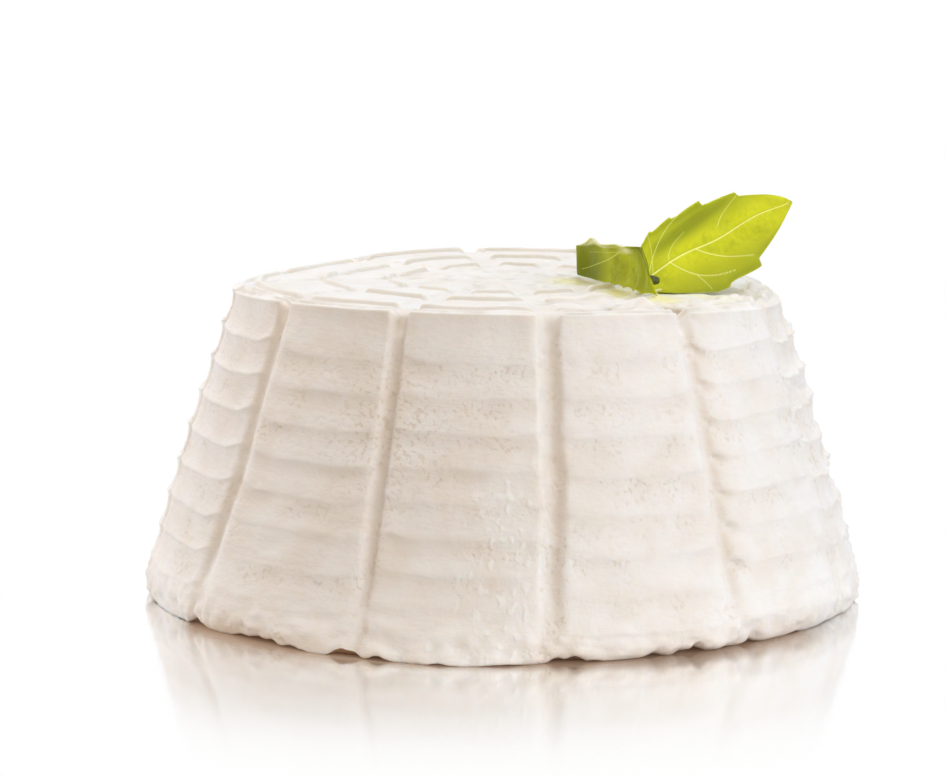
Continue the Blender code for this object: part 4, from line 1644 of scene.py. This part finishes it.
@dataclass
class Stem:
    """The cut end of the stem between the two leaves."""

    finish: StemFinish = field(default_factory=StemFinish)
    start: Point = (0.0300, -0.0262, 0.0744)
    end: Point = (0.0334, -0.0254, 0.0741)
    radius: float = 0.00105
    around: int = 28
    along: int = 18

    def build(self) -> bpy.types.Object:
        """A ribbed rod with rounded ends: rings of radius * (1 + ribs) along a straight line.

        Returns:
            The stem.
        """
        start, end = np.array(self.start), np.array(self.end)
        axis = (end - start) / np.linalg.norm(end - start)
        side = np.cross(axis, (0.0, 0.0, 1.0))
        side /= np.linalg.norm(side)
        up = np.cross(side, axis)
        t = np.linspace(0.0, 1.0, self.along)[:, None]
        turn = np.linspace(0.0, 2 * math.pi, self.around, endpoint=False)
        rounded, ribbed = np.sin(np.pi * np.clip(t, 0.03, 0.97)) ** 0.18, 1.0 + 0.07 * np.cos(4 * turn)
        swell = rounded * ribbed * (1.0 - 0.10 * t)
        circle = np.cos(turn)[:, None] * side + np.sin(turn)[:, None] * up
        rings = start + t[..., None] * (end - start) + self.radius * swell[..., None] * circle
        surface = closed_grid(rings[:, ::-1], rings[0].mean(axis=0), rings[-1].mean(axis=0))
        return make_piece("basil_cut_stem", surface, self.finish.material(), "basil_stem")


# --- The studio -----------------------------------------------------------------------------------
class Side(Enum):
    """Where a lamp stands."""

    LEFT_BACK = "left_back"
    ABOVE = "above"
    FRONT = "front"
    RIGHT_FRONT = "right_front"
    RIGHT = "right"


@dataclass(frozen=True)
class Lamp:
    """A square soft box that faces the cheese and isn't itself seen."""

    place: Point
    size: float
    power: float
    colour: Colour
    aim: Point = (0.0, 0.0, 0.04)

    def build(self, name: str) -> None:
        """Put the lamp into the scene.

        Args:
            name: the lamp's name.
        """
        data = bpy.data.lights.new(name, "AREA")
        data.size = self.size
        data.energy = self.power
        data.color = self.colour
        lamp = bpy.data.objects.new(name, data)
        lamp.location = self.place
        lamp.rotation_mode = "QUATERNION"
        lamp.rotation_quaternion = (Vector(self.place) - Vector(self.aim)).to_track_quat("Z", "Y")
        lamp.visible_camera = False
        lamp.visible_glossy = False
        bpy.context.scene.collection.objects.link(lamp)


@dataclass
class Studio:
    """White floor, soft lamps and the camera."""

    floor: FloorFinish = field(default_factory=FloorFinish)
    floor_radius: float = 6.0
    floor_corners: int = 96
    lamps: dict[Side, Lamp] = field(default_factory=lambda: {
        Side.LEFT_BACK: Lamp((-0.95, 0.35, 0.40), 0.70, 7.7, (0.937, 0.946, 1.0)),
        Side.ABOVE: Lamp((0.10, 0.30, 1.10), 0.80, 6.7, (0.821, 0.910, 1.0)),
        Side.FRONT: Lamp((-0.10, -1.30, 0.70), 0.90, 6.8, (1.0, 0.851, 0.672)),
        Side.RIGHT_FRONT: Lamp((0.95, -0.75, 0.45), 0.80, 8.0, (0.779, 0.877, 1.0)),
        Side.RIGHT: Lamp((1.20, 0.0, 0.30), 0.70, 2.75, (0.916, 0.935, 1.0))})
    ambient: float = 0.187
    ambient_colour: Colour = (1.0, 0.826, 0.695)
    # the camera: its place, how far it looks down, right and tilts in radians, and its lens in mm
    camera_place: Point = (0.0, -0.900, 0.17986)
    camera_pitch: float = 0.14759
    camera_yaw: float = -0.008044
    camera_roll: float = 0.012672
    camera_lens: float = 153.55
    camera_sensor: float = 36.0

    def build(self) -> None:
        """Set up everything that isn't the object."""
        self.make_floor()
        self.make_world()
        for side, lamp in self.lamps.items():
            lamp.build(side.value)
        self.make_camera()
        bpy.context.scene.view_settings.view_transform = "Standard"

    def make_floor(self) -> None:
        """A disc on the ground."""
        turn = np.linspace(0.0, 2 * math.pi, self.floor_corners, endpoint=False)
        ring = np.stack([np.cos(turn), np.sin(turn), np.zeros_like(turn)], axis=-1) * self.floor_radius
        mesh = bpy.data.meshes.new("floor")
        mesh.from_pydata(ring.tolist(), [], [list(range(len(turn)))])
        mesh.materials.append(self.floor.material())
        disc = bpy.data.objects.new("floor", mesh)
        bpy.context.scene.collection.objects.link(disc)

    def make_world(self) -> None:
        """White surroundings that light the object less than they show."""
        world = bpy.data.worlds.new("studio")
        world.use_nodes = True
        bpy.context.scene.world = world
        tree = world.node_tree
        tree.nodes.clear()
        kinds = ("LightPath", "Background", "Background", "MixShader", "OutputWorld")
        path, seen, soft, both, out = (tree.nodes.new("ShaderNode" + kind) for kind in kinds)
        for light, strength, colour in ((seen, 1.0, WHITE), (soft, self.ambient, self.ambient_colour)):
            light.inputs["Strength"].default_value = strength
            light.inputs["Color"].default_value = (*colour, 1.0)
        tree.links.new(path.outputs["Is Diffuse Ray"], both.inputs[0])
        tree.links.new(seen.outputs[0], both.inputs[1])
        tree.links.new(soft.outputs[0], both.inputs[2])
        tree.links.new(both.outputs[0], out.inputs["Surface"])

    def make_camera(self) -> None:
        """A long lens, slightly above the cheese."""
        pitch, yaw, roll = self.camera_pitch, self.camera_yaw, self.camera_roll
        level = Vector((math.sin(yaw), math.cos(yaw), 0.0)) * math.cos(pitch)
        forward = level - Vector((0.0, 0.0, math.sin(pitch)))
        right = forward.cross(Vector((0.0, 0.0, 1.0))).normalized()
        up = right.cross(forward)
        x_axis = right * math.cos(roll) + up * math.sin(roll)
        y_axis = up * math.cos(roll) - right * math.sin(roll)
        turn = Matrix((x_axis, y_axis, -forward)).transposed().to_4x4()
        data = bpy.data.cameras.new("camera")
        data.lens = self.camera_lens
        data.sensor_width = self.camera_sensor
        data.clip_start, data.clip_end = 0.01, 50.0
        camera = bpy.data.objects.new("camera", data)
        camera.matrix_world = Matrix.Translation(self.camera_place) @ turn
        bpy.context.scene.collection.objects.link(camera)
        bpy.context.scene.camera = camera


def main() -> None:
    """Build every piece in order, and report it."""
    logging.basicConfig(level=logging.INFO, format="%(message)s")
    log = logging.getLogger("ricotta")
    Studio().build()
    # painted light: the large leaf's copy is painted bright as if lit through from behind, the small leaf's
    # darker as if in shade
    lit_leaf_finish = LeafFinish("basil_painted_lit", blade=(0.63, 0.645, 0.026), shade=(0.29, 0.325, 0.015),
                        vein=(0.92, 0.90, 0.36), pale_cream=(0.80, 0.78, 0.50), gloss=0.3)
    deep = LeafFinish("basil_painted_shaded", blade=(0.40, 0.43, 0.018), shade=(0.125, 0.150, 0.008),
                      vein=(0.60, 0.62, 0.14), pale_cream=(0.78, 0.75, 0.50), gloss=0.08)
    makers = (Cheese(), UprightLeaf("basil_leaf_upright", "basil_leaf_large", lit_leaf_finish),
              FoldedLeaf("basil_leaf_folded", "basil_leaf_small", deep), Stem())
    for maker in makers:
        piece = maker.build()
        log.info("%s: %d faces", piece.name, len(piece.data.polygons))


if __name__ == "__main__":
    main()
